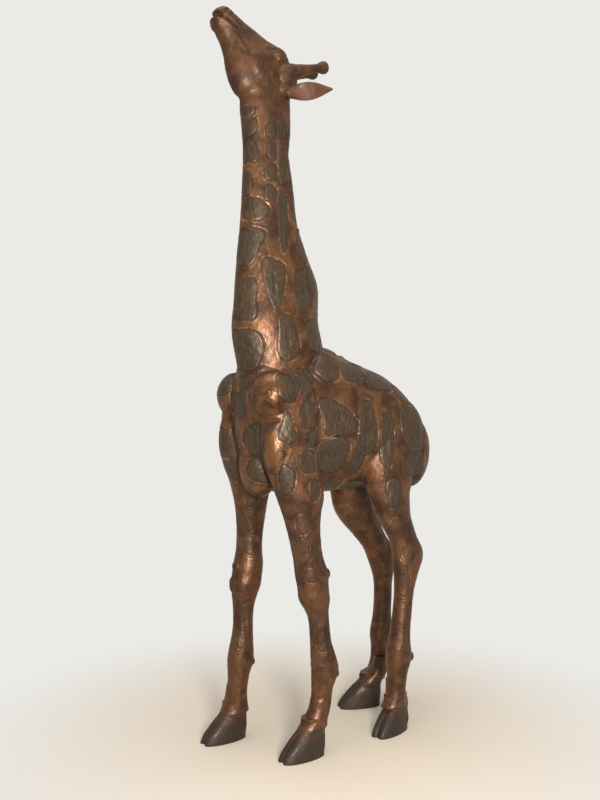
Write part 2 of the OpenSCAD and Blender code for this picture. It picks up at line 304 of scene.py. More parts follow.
@dataclass(frozen=True)
class Patch:
    """One coat patch, laid on the skin from outside. Sizes in millimetres, heading in degrees.

    Heading 0 faces forward, 90 faces the animal's left, 180 faces back.
    """

    heading: float
    x: float
    y: float
    z: float
    half_width: float
    half_height: float
    u: float = 0.0
    taper: float = 0.0
    lean: float = 0.0
    reach: float = 130.0
    rise: float = 0.0
    wobble: float = 0.07
    squareness: float = 2.8
    rings: int = 1
    height: float = 1.0
    tone: float = 1.0

    def mirrored(self, turn: int) -> "Patch":
        """Return the patch on the other side, with its outline varied a little."""
        vary = 1.0 + 0.10 * math.sin(turn * 2.3)
        return replace(self, heading=-self.heading, x=-self.x, z=self.z + 6.0 * math.sin(turn * 1.7),
                       half_width=self.half_width * vary, half_height=self.half_height / vary,
                       u=-self.u, lean=-self.lean, wobble=self.wobble * 1.2)

    def distance(self, points: np.ndarray, facing: np.ndarray) -> np.ndarray:
        """Measure how far each point is outside the outline, in millimetres.

        Args:
            points: Points of the skin in millimetres.
            facing: Their normals.

        Returns:
            Signed distances, large where the point is out of the patch's reach.
        """
        a, b = math.radians(self.heading), math.radians(self.rise)
        out = np.array([math.sin(a) * math.cos(b), -math.cos(a) * math.cos(b), math.sin(b)])
        along = np.array([math.cos(a), math.sin(a), 0.0])
        rel = points - np.array([self.x, self.y, self.z]) - along * self.u
        depth = rel @ out
        w = rel @ np.cross(out, along) / self.half_height
        u = (rel @ along - self.lean * w) / (self.half_width * (1.0 - self.taper * w).clip(0.25))
        angle = np.arctan2(w, u)
        seed = self.z * 0.13 + self.heading
        edge = 1.0 + self.wobble * (np.sin(3 * angle + seed) + 0.6 * np.sin(5 * angle + 2.1 * seed))
        p = self.squareness
        radius = (np.abs(u) ** p + np.abs(w) ** p) ** (1.0 / p) / edge
        scale = np.sqrt((u * self.half_width) ** 2 + (w * self.half_height) ** 2 + 1.0) / np.maximum(
            np.sqrt(u**2 + w**2), 0.05)
        d = (radius - 1.0) * np.minimum(scale, max(self.half_width, self.half_height))
        hidden = (depth < 0.0) | (depth > self.reach) | (facing @ out < 0.12) | (radius > 3.0)
        return np.where(hidden, 1e3, d)


@dataclass(frozen=True)
class Stroke:
    """A chased ridge or groove along a line of points, in millimetres. A groove has a negative height."""

    line: tuple[tuple[float, float, float], ...]
    width: float
    height: float
    both_sides: bool = True
    rub: float = 0.0
    dark: float = 0.0

    def spans(self) -> list[np.ndarray]:
        """Return the line, and its mirror image where it is on both sides."""
        line = np.array(self.line, float)
        return [line, line * np.array([-1.0, 1.0, 1.0])] if self.both_sides else [line]

    def nearness(self, points: np.ndarray) -> np.ndarray:
        """Measure each point's nearness to the line, 1 on it and 0 away from it."""
        near = np.full(len(points), 1e3)
        for line in self.spans():
            low, high = line.min(0) - 3 * self.width, line.max(0) + 3 * self.width
            hit = np.all((points > low) & (points < high), axis=1)
            if not hit.any():
                continue
            some = points[hit]
            best = np.full(len(some), 1e3)
            total = len(line) - 1
            for k, (a, b) in enumerate(zip(line[:-1], line[1:])):
                span = b - a
                t = np.clip(((some - a) @ span) / (span @ span), 0.0, 1.0)
                gap = np.linalg.norm(some - a - t[:, None] * span, axis=1)
                ends = np.minimum((k + t) / total, 1.0 - (k + t) / total)
                gap = gap / (0.45 + 0.55 * step(0.0, 0.18, ends))
                best = np.minimum(best, gap)
            near[hit] = np.minimum(near[hit], best)
        return bump(near, self.width)


def ripple(points: np.ndarray, size: float, seed: float) -> np.ndarray:
    """Soft hand-worked unevenness of a wax surface.

    Args:
        points: Points in millimetres.
        size: Spacing of the hollows in millimetres.
        seed: Shifts the pattern.

    Returns:
        Heights from about -1 to 1.
    """
    q = points * (2 * math.pi / size)
    total = np.zeros(len(points))
    for k in range(5):
        a = seed + 1.9 * k
        way = np.array([math.sin(a * 1.3), math.cos(a * 2.1), math.sin(a * 0.7 + 1.0)])
        across = np.array([math.cos(a), math.sin(a * 1.7), math.cos(a * 2.9)])
        total += np.sin(q @ way * (0.7 + 0.22 * k) + 1.7 * np.sin(q @ across * 0.6) + 5.1 * k)
    return total / 3.2


@dataclass
class Chaser:
    """Works the relief into a fused skin and leaves the masks that the materials read.

    Depths and widths are in millimetres. Beyond a patch's outline come a groove, a rim and further rings.
    """

    patches: list[Patch]
    strokes: list[Stroke]
    groove_at: float = 2.0
    groove_width: float = 2.0
    groove_depth: float = 1.5
    rim_at: float = 6.0
    rim_width: float = 2.2
    rim_height: float = 1.1
    ring_gap: float = 8.0
    ring_width: float = 1.9
    ring_fade: float = 0.8
    near: float = 40.0
    hoof_line: tuple[float, float] = (68.0, 50.0)

    def work(self, obj: bpy.types.Object) -> None:
        """Raise patches, cut grooves and lines, and store the masks.

        Args:
            obj: The fused skin.
        """
        points, facing = coordinates(obj) / MM, normals(obj)
        height = 0.35 * ripple(points, 46.0, 0.3) + 0.14 * ripple(points, 15.0, 2.0)
        press = 0.62 + 0.38 * np.clip(1.6 * ripple(points, 78.0, 4.0), -1.0, 1.0)
        masks = {name: np.zeros(len(points)) for name in ("patch", "groove", "rim", "rub")}
        for p in self.patches:
            height += self.outline(p, points, facing, press, masks)
        for s in self.strokes:
            near = s.nearness(points)
            height += s.height * near
            masks["rub"] = np.maximum(masks["rub"], s.rub * near)
            masks["groove"] = np.maximum(masks["groove"], s.dark * near)
        moved = points + facing * height[:, None]
        sole = points[:, 2] < 1.0
        moved[:, 2] = np.where(sole, np.maximum(points[:, 2], 0.0), moved[:, 2])
        place_points(obj, moved * MM)
        masks["patch"] = np.maximum(masks["patch"], 0.9 * step(*self.hoof_line, points[:, 2]))
        for name, values in masks.items():
            store(obj, name, values)

    def outline(self, p: Patch, points: np.ndarray, facing: np.ndarray, press: np.ndarray,
                masks: dict[str, np.ndarray]) -> np.ndarray:
        """Work one patch.

        Args:
            p: The patch.
            points: Points of the skin in millimetres.
            facing: Their normals.
            press: How hard the tool is pressed at each point.
            masks: The masks, which are added to.

        Returns:
            The height that the patch adds at each point.
        """
        d = np.full(len(points), 1e3)
        within = p.reach + p.half_height + abs(p.u) + self.near
        close = np.linalg.norm(points - np.array([p.x, p.y, p.z]), axis=1) < within
        d[close] = p.distance(points[close], facing[close])
        line = bump(d - self.groove_at, self.groove_width) * (0.4 + 0.6 * press)
        ridge = bump(d - self.rim_at, self.rim_width) * press
        height = step(1.0, -2.5, d) * (np.abs(d) < self.near)
        height += self.rim_height * ridge - self.groove_depth * line
        masks["patch"] = np.maximum(masks["patch"], p.tone * step(1.5, -1.5, d))
        masks["groove"] = np.maximum(masks["groove"], p.height * line)
        masks["rim"] = np.maximum(masks["rim"], p.height * ridge)
        for k in range(1, p.rings):
            out, fade = self.ring_gap * k, self.ring_fade ** k
            extra = bump(d - self.rim_at - out, self.ring_width) * fade
            cut = bump(d - self.groove_at - out, self.ring_width) * fade
            height += extra - cut
            masks["rim"] = np.maximum(masks["rim"], 0.5 * p.height * extra)
            masks["groove"] = np.maximum(masks["groove"], 0.6 * p.height * cut)
        return p.height * height


# ---------------------------------------------------------------------------
# The animal's measurements
# ---------------------------------------------------------------------------


def rows(*values: tuple[float, ...]) -> list[Section]:
    """Turn rows of numbers into sections."""
    return [Section(*v) for v in values]


@dataclass
class Anatomy:
    """Sections, masses, coat and chased lines of the whole animal, in millimetres."""

    neck: list[Section] = field(default_factory=lambda: rows(
        (0, -150, 1100, 96, 148), (0, -164, 1180, 99, 152), (0, -180, 1260, 96, 152),
        (0, -186, 1310, 92, 147), (0, -182, 1360, 86, 146), (0, -181, 1430, 77, 144),
        (0, -197, 1520, 66, 120), (0, -211, 1620, 58, 96), (0, -214, 1720, 53, 87),
        (0, -221, 1820, 50, 77), (0, -221, 1900, 53, 83), (0, -224, 1960, 56, 85),
        (0, -222, 2010, 52, 80)))
    trunk: list[Section] = field(default_factory=lambda: [
        Section(*v, 90.0) for v in (
            (0, -318, 1058, 26, 44), (0, -308, 1050, 66, 110), (0, -286, 1038, 92, 170),
            (0, -250, 1020, 108, 212), (0, -190, 1010, 118, 228), (0, -110, 1003, 130, 232),
            (0, -20, 998, 142, 226), (0, 60, 988, 148, 213), (0, 150, 976, 150, 197),
            (0, 230, 962, 146, 180), (0, 295, 947, 130, 146), (0, 335, 937, 106, 112),
            (0, 362, 927, 70, 72), (0, 373, 922, 36, 38))])
    left_fore: list[Section] = field(default_factory=lambda: rows(
        (126, -135, 82, 34, 50), (125, -122, 103, 33, 37), (125, -106, 140, 30, 33),
        (125, -100, 190, 32, 33), (125, -92, 228, 37, 41), (125, -89, 255, 38, 44),
        (124, -95, 290, 34, 41), (123, -104, 340, 30, 33), (122, -110, 400, 30, 32),
        (121, -116, 430, 34, 37), (119, -124, 465, 43, 50), (118, -128, 500, 43, 50),
        (118, -133, 540, 45, 54), (118, -141, 572, 43, 50), (118, -151, 610, 42, 47),
        (115, -160, 670, 44, 52), (112, -166, 730, 48, 65), (110, -170, 780, 54, 80),
        (104, -192, 860, 57, 88), (100, -206, 930, 58, 90), (96, -208, 1000, 58, 88),
        (90, -205, 1070, 54, 82), (78, -195, 1130, 42, 66), (66, -186, 1170, 24, 40)))
    right_fore: list[Section] = field(default_factory=lambda: rows(
        (-124, -259, 82, 34, 50), (-122, -252, 103, 33, 37), (-121, -252, 140, 31, 33),
        (-121, -247, 190, 33, 34), (-121, -241, 228, 38, 41), (-121, -238, 255, 38, 43),
        (-121, -235, 290, 35, 39), (-120, -231, 340, 31, 33), (-120, -229, 400, 31, 33),
        (-119, -226, 440, 36, 40), (-117, -222, 480, 43, 51), (-117, -218, 510, 43, 50),
        (-118, -212, 545, 44, 49), (-118, -209, 590, 41, 42), (-116, -207, 650, 41, 43),
        (-113, -205, 710, 44, 50), (-111, -206, 760, 50, 59), (-107, -209, 820, 56, 76),
        (-102, -225, 870, 57, 84), (-99, -236, 930, 58, 88), (-95, -232, 1000, 58, 88),
        (-90, -222, 1070, 54, 82), (-78, -205, 1130, 42, 66), (-66, -190, 1170, 24, 40)))
    left_hind: list[Section] = field(default_factory=lambda: rows(
        (124, 187, 82, 34, 46), (125, 193, 103, 33, 37), (125, 198, 140, 30, 33),
        (125, 203, 185, 33, 34), (124, 208, 222, 39, 42), (124, 210, 250, 39, 43),
        (125, 212, 290, 34, 37), (125, 218, 340, 31, 33), (125, 226, 400, 30, 32),
        (125, 233, 455, 31, 35), (124, 241, 505, 37, 43), (122, 249, 545, 42, 56),
        (121, 248, 580, 42, 57), (119, 230, 622, 41, 52), (114, 199, 685, 46, 61),
        (109, 187, 735, 52, 71), (106, 183, 775, 55, 80), (100, 186, 840, 60, 102),
        (95, 194, 910, 62, 116), (89, 204, 980, 58, 108), (80, 214, 1040, 46, 84),
        (70, 220, 1080, 26, 48)))
    right_hind: list[Section] = field(default_factory=lambda: rows(
        (-122, 306, 82, 34, 49), (-124, 322, 105, 33, 40), (-125, 338, 145, 31, 33),
        (-125, 344, 190, 33, 35), (-125, 347, 228, 38, 41), (-125, 348, 255, 38, 40),
        (-125, 351, 300, 32, 34), (-125, 355, 360, 30, 33), (-125, 356, 420, 31, 34),
        (-124, 353, 465, 36, 44), (-122, 344, 508, 41, 54), (-121, 325, 550, 41, 58),
        (-119, 283, 600, 42, 64), (-115, 243, 650, 45, 78), (-111, 223, 690, 48, 89),
        (-108, 213, 735, 52, 94), (-105, 209, 775, 55, 98), (-100, 212, 840, 60, 108),
        (-95, 220, 910, 62, 118), (-89, 224, 980, 58, 108), (-80, 226, 1040, 46, 84),
        (-70, 226, 1080, 26, 48)))
    head: list[Section] = field(default_factory=lambda: rows(
        (0, -224, 1965, 55, 84, 0), (0, -224, 1996, 54, 88, -16), (0, -226, 2030, 55, 101, -30),
        (0, -238, 2058, 58, 114, -37), (0, -262, 2083, 56, 108, -39), (0, -291, 2109, 50, 88, -39),
        (0, -316, 2139, 43, 68, -41), (0, -343, 2164, 37, 53, -45), (0, -367, 2186, 35, 44, -50),
        (0, -385, 2203, 30, 35, -56), (0, -393, 2210, 20, 18, -60)))

    def masses(self) -> list[Mass]:
        """Return the muscles and bones that stand out of the lofted limbs."""
        left = [
            Mass(92, -254, 1079, 67, 72, 76), Mass(106, -240, 925, 46, 58, 116, 4),
            Mass(84, -160, 1000, 68, 62, 150), Mass(92, 222, 930, 68, 118, 150),
            Mass(60, -60, 1130, 60, 90, 90), Mass(96, 280, 900, 50, 80, 120),
            Mass(122, 282, 556, 17, 22, 34, 12), Mass(121, -160, 505, 20, 16, 34),
            Mass(122, -84, 538, 18, 13, 18), Mass(140, -58, 236, 11, 10, 15), Mass(110, -58, 236, 11, 10, 15),
            Mass(140, 248, 234, 11, 10, 15), Mass(110, 248, 234, 11, 10, 15),
            Mass(146, -128, 512, 14, 20, 28),
            Mass(118, -172, 545, 20, 14, 22)]
        right = [
            Mass(-92, -260, 1079, 67, 72, 76), Mass(-106, -252, 925, 46, 58, 116, 4),
            Mass(-84, -170, 1000, 68, 62, 150), Mass(-92, 232, 930, 68, 118, 150),
            Mass(-60, -60, 1130, 60, 90, 90), Mass(-96, 285, 900, 50, 80, 120),
            Mass(-122, 378, 505, 17, 20, 34, -8), Mass(-119, -262, 486, 20, 16, 32),
            Mass(-120, -172, 520, 18, 12, 20), Mass(-136, -206, 238, 11, 10, 15),
            Mass(-106, -206, 238, 11, 10, 15), Mass(-140, 382, 240, 11, 10, 15),
            Mass(-110, 382, 240, 11, 10, 15), Mass(-98, -218, 494, 14, 18, 26),
            Mass(-118, -256, 540, 18, 12, 20)]
        middle = [
            Mass(0, -244, 880, 66, 64, 112), Mass(0, -275, 1010, 60, 44, 90),
            Mass(0, -60, 1190, 60, 120, 48)]
        return left + right + middle


# ---------------------------------------------------------------------------
# The animal's coat and chased lines
# ---------------------------------------------------------------------------


@dataclass
class Coat:
    """The pattern of patches. Sizes in millimetres."""

    neck_front: list[Patch] = field(default_factory=lambda: [
        Patch(25, 0, -221, 1933, 19, 13, u=-13), Patch(25, 0, -221, 1888, 23, 26, u=-14),
        Patch(25, 0, -221, 1812, 23, 33, u=-14, taper=0.1),
        Patch(20, 0, -218, 1716, 23, 34, u=-22, lean=2), Patch(33, 0, -216, 1640, 33, 32, u=-6, taper=0.25),
        Patch(26, 0, -213, 1522, 38, 56, u=-20, taper=-0.3, lean=10, squareness=3.4),
        Patch(22, 0, -188, 1368, 35, 62, u=-20, squareness=3.2, taper=0.12),
        Patch(25, 0, -182, 1216, 46, 60, u=-26, taper=-0.08, squareness=3.6)])
    neck_sides: list[Patch] = field(default_factory=lambda: [
        Patch(68, 0, -221, 1880, 15, 24, u=8), Patch(70, 0, -221, 1818, 15, 26, u=9),
        Patch(65, 0, -218, 1752, 19, 25, u=7), Patch(65, 0, -218, 1690, 18, 23, u=4),
        Patch(58, 0, -205, 1412, 29, 74, u=12, taper=-0.6, lean=-6, squareness=3.4),
        Patch(72, 0, -184, 1252, 33, 68, u=12, squareness=3.2, lean=-4),
        Patch(92, 0, -216, 1612, 19, 92, u=17, squareness=3.2),
        Patch(100, 0, -195, 1404, 32, 62, u=40, taper=0.2), Patch(98, 0, -218, 1775, 18, 52, u=22),
        Patch(105, 0, -184, 1266, 34, 50, u=62),
        Patch(95, 0, -221, 1895, 17, 36, u=20), Patch(140, 0, -216, 1660, 18, 44, u=20),
        Patch(140, 0, -216, 1540, 20, 46, u=26), Patch(142, 0, -205, 1430, 22, 42, u=30),
        Patch(140, 0, -218, 1772, 16, 40, u=20), Patch(142, 0, -221, 1870, 16, 34, u=20)])
    chest: list[Patch] = field(default_factory=lambda: [
        Patch(5, 0, -240, 1078, 17, 60, u=10, squareness=3.0), Patch(20, 0, -250, 947, 46, 46, u=40),
        Patch(25, 0, -250, 858, 42, 38, u=42), Patch(-10, -90, -240, 1112, 44, 34),
        Patch(-8, 0, -240, 1082, 14, 46, u=-26), Patch(-30, 0, -250, 930, 40, 44, u=-46),
        Patch(-30, 0, -250, 845, 36, 34, u=-44)])
    shoulder: list[Patch] = field(default_factory=lambda: [
        Patch(70, 92, -240, 1104, 37, 41, u=22), Patch(65, 98, -205, 984, 21, 44, u=-12, taper=0.45),
        Patch(85, 0, -200, 1021, 30, 40, u=44, reach=220),
        Patch(50, 102, -188, 832, 22, 42, u=-14, squareness=2.4),
        Patch(85, 102, -188, 884, 31, 32, u=20), Patch(88, 0, -200, 1122, 34, 38, u=44, lean=8, reach=220),
        Patch(92, 102, -190, 800, 22, 30, u=34), Patch(90, 0, -200, 940, 22, 34, u=54, reach=220)])
    flank: list[Patch] = field(default_factory=lambda: [
        Patch(90, 0, 0, 1013, 54, 54, u=-50, taper=0.22, lean=-26, squareness=3.8, reach=220),
        Patch(90, 0, 0, 975, 36, 84, u=62, squareness=3.0, reach=220),
        Patch(90, 0, 0, 899, 54, 56, u=-56, squareness=2.3, reach=220),
        Patch(90, 0, 0, 872, 22, 44, u=40, lean=8, reach=220),
        Patch(90, 0, 0, 947, 24, 92, u=140, lean=4, squareness=3.0, reach=220),
        Patch(88, 0, 0, 772, 24, 46, u=166, reach=220), Patch(100, 0, 200, 972, 56, 74, u=26, reach=220),
        Patch(100, 0, 200, 858, 50, 40, u=30, reach=220)])
    back: list[Patch] = field(default_factory=lambda: [
        Patch(90, 70, -66, 1140, 46, 40, rise=38, reach=160),
        Patch(90, 70, 40, 1132, 48, 40, rise=38, reach=160),
        Patch(92, 70, 145, 1105, 46, 38, rise=38, reach=160),
        Patch(94, 66, 245, 1060, 42, 36, rise=36, reach=160),
        Patch(90, 18, -20, 1200, 36, 30, rise=72, reach=160),
        Patch(90, 20, 90, 1180, 40, 30, rise=72, reach=160),
        Patch(92, 20, 195, 1140, 38, 28, rise=70, reach=160), Patch(150, 40, 330, 1010, 34, 44, reach=160),
        Patch(150, 60, 330, 920, 36, 40, reach=160), Patch(172, 20, 360, 930, 14, 40, reach=160),
        Patch(165, 60, 260, 850, 36, 36, u=8, reach=220), Patch(170, 90, 200, 775, 24, 34, reach=220)])
    belly: list[Patch] = field(default_factory=lambda: [
        Patch(90, 52, -30, 800, 44, 30, rise=-58, reach=220),
        Patch(90, 52, 70, 800, 42, 30, rise=-58, reach=220)])
    fore_leg: list[Patch] = field(default_factory=lambda: [
        Patch(50, 117, -154, 620, 14, 38, u=-12, rings=2), Patch(82, 117, -154, 626, 18, 36, u=10, rings=2),
        Patch(60, 118, -134, 548, 18, 22, u=-4, rings=2), Patch(60, 122, -113, 418, 16, 24, u=-10, rings=2),
        Patch(66, 114, -164, 702, 20, 30, u=-6, rings=1), Patch(15, 116, -158, 650, 14, 30, u=2, rings=2),
        Patch(72, 123, -104, 340, 14, 28, u=-2, rings=2),
        Patch(150, 116, -158, 640, 18, 40, rings=1), Patch(240, 116, -158, 630, 18, 40, rings=1),
        Patch(160, 122, -108, 380, 14, 34, rings=1), Patch(275, 122, -108, 360, 13, 30, rings=1)])
    fore_leg_right: list[Patch] = field(default_factory=lambda: [
        Patch(40, -112, -206, 755, 20, 26, u=22, rings=2), Patch(20, -115, -207, 684, 18, 32, u=5, rings=2),
        Patch(45, -118, -209, 606, 15, 24, u=8, rings=2), Patch(25, -120, -229, 398, 16, 27, u=18, rings=2),
        Patch(25, -120, -233, 313, 16, 24, u=22, rings=2), 
        Patch(-60, -115, -207, 700, 22, 40, rings=2), Patch(-60, -118, -210, 600, 20, 36, rings=2),
        Patch(-70, -120, -229, 400, 16, 36, rings=1), Patch(-75, -120, -235, 320, 15, 28, rings=1),
        Patch(-10, -120, -229, 452, 14, 20, u=2, rings=1), Patch(-150, -115, -207, 650, 18, 42, rings=1)])
    hind_leg: list[Patch] = field(default_factory=lambda: [
        Patch(80, 108, 186, 742, 24, 44, u=-8, rings=1), Patch(80, 114, 205, 664, 18, 26, u=-20, rings=2),
        Patch(70, 124, 236, 478, 17, 42, u=-16, rings=2), Patch(70, 125, 222, 374, 16, 30, u=-8, rings=2),
        Patch(75, 120, 245, 580, 18, 28, u=-12, rings=2), Patch(100, 116, 216, 640, 16, 30, u=22, rings=1),
        Patch(20, 122, 236, 520, 14, 36, rings=1), Patch(160, 122, 236, 500, 15, 34, rings=1),
        Patch(150, 125, 222, 380, 14, 34, rings=1), Patch(240, 122, 236, 500, 15, 34, rings=1),
        Patch(250, 112, 196, 690, 24, 40, rings=1)])
    hind_leg_right: list[Patch] = field(default_factory=lambda: [
        Patch(-80, -109, 212, 720, 30, 44, rings=1), Patch(-78, -118, 270, 620, 22, 34, rings=2),
        Patch(-75, -122, 342, 520, 18, 30, rings=2), Patch(-75, -125, 355, 400, 16, 34, rings=2),
        Patch(-75, -125, 350, 300, 15, 28, rings=1), Patch(20, -122, 345, 470, 15, 40, rings=1),
        Patch(35, -115, 245, 650, 22, 34, rings=1), Patch(60, -109, 215, 730, 26, 34, rings=1),
        Patch(60, -125, 352, 330, 14, 34, rings=1), Patch(160, -125, 355, 400, 15, 40, rings=1)])

    def patches(self) -> list[Patch]:
        """Return every patch of both sides."""
        paired = self.neck_sides + self.shoulder + self.flank + self.back + self.belly
        legs = self.fore_leg + self.fore_leg_right + self.hind_leg + self.hind_leg_right
        out = [replace(p, reach=220.0) for p in self.neck_front + self.chest] + paired
        out += [replace(p, tone=0.45, height=0.5) for p in legs]
        return out + [p.mirrored(turn) for turn, p in enumerate(paired)]


@dataclass
class Lines:
    """Chased ridges, creases, tendons and folds, in millimetres."""

    body: list[Stroke] = field(default_factory=lambda: [
        Stroke(((150, -121, 1095), (165, -121, 1010), (165, -121, 900), (150, -121, 815)), 6, -3.5, dark=0.5),
        Stroke(((20, -330, 1150), (70, -300, 1148), (105, -230, 1150), (112, -150, 1165), (80, -70, 1200)),
               10, -6.5, dark=0.7),
        Stroke(((20, -338, 1166), (66, -312, 1164), (108, -236, 1166), (116, -150, 1184)), 7, 3.0, rub=0.6),
        Stroke(((24, -330, 1135), (30, -325, 1060), (40, -318, 1000), (70, -300, 960)), 8, -5.0, dark=0.6),
        Stroke(((50, -310, 1012), (80, -316, 1004), (110, -306, 1002), (146, -262, 1008)), 9, -6.0, dark=0.6),
        Stroke(((150, 96, 1075), (165, 98, 990), (165, 100, 900), (150, 104, 820)), 7, -4.0, dark=0.6),
        Stroke(((150, 118, 1070), (165, 120, 980), (165, 120, 900), (150, 124, 830)), 9, 2.5, rub=0.9),
        Stroke(((0, -32, 1318), (0, -26, 1250)), 14, -4.0),
        # Painted highlight, partly polish: these two marks raise no relief. They put copper colour and a
        # smoother, more metallic finish where the light catches the near shoulder's knob and the forearm, on
        # both sides.
        Stroke(((140, -302, 1086), (148, -288, 1044)), 26, 0.0, rub=0.8),
        Stroke(((148, -248, 950), (148, -244, 895)), 17, 0.0, rub=0.8),
        Stroke(((0, -38, 1430), (0, -90, 1560), (0, -130, 1720), (0, -142, 1900)), 10, 3.0, rub=0.3)])
    legs: list[Stroke] = field(default_factory=lambda: [
        Stroke(((156, -92, 420), (156, -84, 340), (158, -74, 270)), 6, -2.2, False, dark=0.3),
        Stroke(((150, -116, 430), (152, -106, 350), (156, -100, 280)), 5, 1.4, False, rub=0.5),
        Stroke(((100, -168, 745), (108, -186, 660), (112, -176, 580)), 7, 1.6, False, rub=0.5),
        Stroke(((150, -150, 700), (152, -132, 610), (150, -112, 560)), 7, -2.2, False, dark=0.3),
        Stroke(((92, -158, 526), (122, -184, 522), (150, -150, 528)), 5, -2.4, False, dark=0.5),
        Stroke(((96, -160, 470), (122, -176, 462), (150, -140, 470)), 5, -2.0, False, dark=0.4),
        Stroke(((94, -122, 268), (124, -138, 262), (156, -112, 268)), 5, 1.8, False, rub=0.3),
        Stroke(((-94, -240, 420), (-93, -236, 340), (-90, -232, 270)), 6, -2.0, False, dark=0.3),
        Stroke(((-96, -262, 430), (-98, -262, 340), (-96, -266, 280)), 5, 1.4, False, rub=0.5),
        Stroke(((-146, -262, 512), (-118, -276, 508), (-90, -250, 514)), 5, -2.4, False, dark=0.5),
        Stroke(((-146, -256, 458), (-118, -270, 450), (-90, -244, 458)), 5, -2.0, False, dark=0.4),
        Stroke(((156, 240, 470), (156, 228, 380), (158, 220, 270)), 6, -2.2, False, dark=0.3),
        Stroke(((154, 214, 470), (156, 204, 380), (158, 196, 280)), 5, 1.4, False, rub=0.5),
        Stroke(((152, 262, 660), (158, 290, 600), (150, 292, 540)), 7, -2.4, False, dark=0.4),
        Stroke(((92, 186, 268), (124, 168, 262), (158, 196, 268)), 5, 1.8, False, rub=0.3),
        Stroke(((-94, 342, 460), (-94, 344, 370), (-92, 340, 270)), 6, -2.0, False, dark=0.3),
        Stroke(((-84, 300, 640), (-80, 340, 580), (-88, 352, 520)), 7, -2.4, False, dark=0.4)])
    head: list[Stroke] = field(default_factory=lambda: [
        Stroke(((0, -408, 2199), (22, -396, 2197), (32, -370, 2186), (36, -344, 2168)), 7, -10.0, dark=1.0),
        Stroke(((0, -412, 2188), (24, -402, 2186), (35, -374, 2175), (38, -350, 2160)), 4, 2.2, rub=0.7),
        Stroke(((34, -352, 2150), (38, -330, 2120), (44, -300, 2080), (50, -262, 2030)), 6, 2.8, rub=0.7),
        Stroke(((34, -340, 2150), (40, -318, 2120), (46, -288, 2082), (52, -252, 2036)), 5, -2.6, dark=0.6),
        Stroke(((36, -328, 2158), (42, -304, 2124), (50, -270, 2082), (56, -236, 2046)), 6, 2.6, rub=0.6),
        Stroke(((30, -262, 2130), (44, -240, 2134), (52, -212, 2130), (56, -186, 2116)), 5, 3.4, rub=0.6),
        Stroke(((38, -250, 2120), (50, -228, 2124), (56, -204, 2118), (58, -188, 2104)), 4, -2.6, dark=0.7),
        Stroke(((40, -240, 2112), (54, -220, 2114), (60, -204, 2108), (60, -192, 2098)), 3.2, 2.4, rub=0.5),
        Stroke(((48, -226, 2092), (60, -208, 2088), (64, -190, 2090), (58, -174, 2100)), 4, 2.4, rub=0.6),
        Stroke(((56, -186, 2066), (58, -170, 2060), (58, -156, 2052)), 9, 3.0, rub=0.8),
        Stroke(((18, -376, 2222), (26, -368, 2214), (28, -358, 2204)), 4, -5.0, dark=1.0),
        Stroke(((14, -384, 2226), (24, -378, 2220), (31, -366, 2209)), 3, 2.0, rub=0.6)])


# ---------------------------------------------------------------------------
# Finishes
# ---------------------------------------------------------------------------

Color = tuple[float, float, float, float]


class Tree:
    """Small helper that adds and links shader nodes."""

    def __init__(self, tree: bpy.types.NodeTree) -> None:
        """Start from an empty tree."""
        self.tree = tree
        self.tree.nodes.clear()

    def add(self, kind: str, inputs: dict[str | int, object] | None = None,
            **settings: object) -> bpy.types.Node:
        """Add a node, set it up and link or fill its inputs.

        Args:
            kind: The node's type name.
            inputs: Values or output sockets by input name or number.
            settings: Attributes of the node.

        Returns:
            The new node.
        """
        node = self.tree.nodes.new(kind)
        for key, value in settings.items():
            setattr(node, key, value)
        for key, value in (inputs or {}).items():
            socket = node.inputs[key]
            if isinstance(value, bpy.types.NodeSocket):
                self.tree.links.new(value, socket)
            else:
                socket.default_value = value
        return node

    def math(self, operation: str, a: object, b: object = 0.0, clamp: bool = False) -> bpy.types.NodeSocket:
        """Add a Math node and return its output."""
        return self.add("ShaderNodeMath", {0: a, 1: b}, operation=operation, use_clamp=clamp).outputs[0]

    def times(self, a: object, b: object) -> bpy.types.NodeSocket:
        """Multiply two values."""
        return self.math("MULTIPLY", a, b)

    def plus(self, a: object, b: object) -> bpy.types.NodeSocket:
        """Add two values."""
        return self.math("ADD", a, b)

    def mix(self, factor: object, a: object, b: object) -> bpy.types.NodeSocket:
        """Blend two colours and return the result."""
        node = self.add("ShaderNodeMix", data_type="RGBA")
        for key, value in ((0, factor), (6, a), (7, b)):
            if isinstance(value, bpy.types.NodeSocket):
                self.tree.links.new(value, node.inputs[key])
            else:
                node.inputs[key].default_value = value
        return node.outputs[2]

    def ramp(self, value: bpy.types.NodeSocket, low: float, high: float) -> bpy.types.NodeSocket:
        """Smoothly map a range of values to 0..1."""
        return self.add("ShaderNodeMapRange", {"Value": value, "From Min": low, "From Max": high},
                        interpolation_type="SMOOTHSTEP").outputs[0]

    def noise(self, where: bpy.types.NodeSocket, scale: float, detail: float = 3.0,
              rough: float = 0.55) -> bpy.types.NodeSocket:
        """Add a noise pattern and return its value."""
        return self.add("ShaderNodeTexNoise", {"Vector": where, "Scale": scale, "Detail": detail,
                                               "Roughness": rough}).outputs[0]


def new_group(name: str, inputs: dict[str, float],
              outputs: dict[str, str]) -> tuple[Tree, bpy.types.Node, bpy.types.Node]:
    """Make a shader node group with named sockets.

    Args:
        name: Name of the group.
        inputs: Default value of each input, by name.
        outputs: Socket type of each output, by name.

    Returns:
        The group's tree helper, its input node and its output node.
    """
    group = bpy.data.node_groups.new(name, "ShaderNodeTree")
    for label, value in inputs.items():
        socket = group.interface.new_socket(label, in_out="INPUT", socket_type="NodeSocketFloat")
        socket.default_value = value
    for label, kind in outputs.items():
        group.interface.new_socket(label, in_out="OUTPUT", socket_type=kind)
    tree = Tree(group)
    return tree, tree.add("NodeGroupInput"), tree.add("NodeGroupOutput")


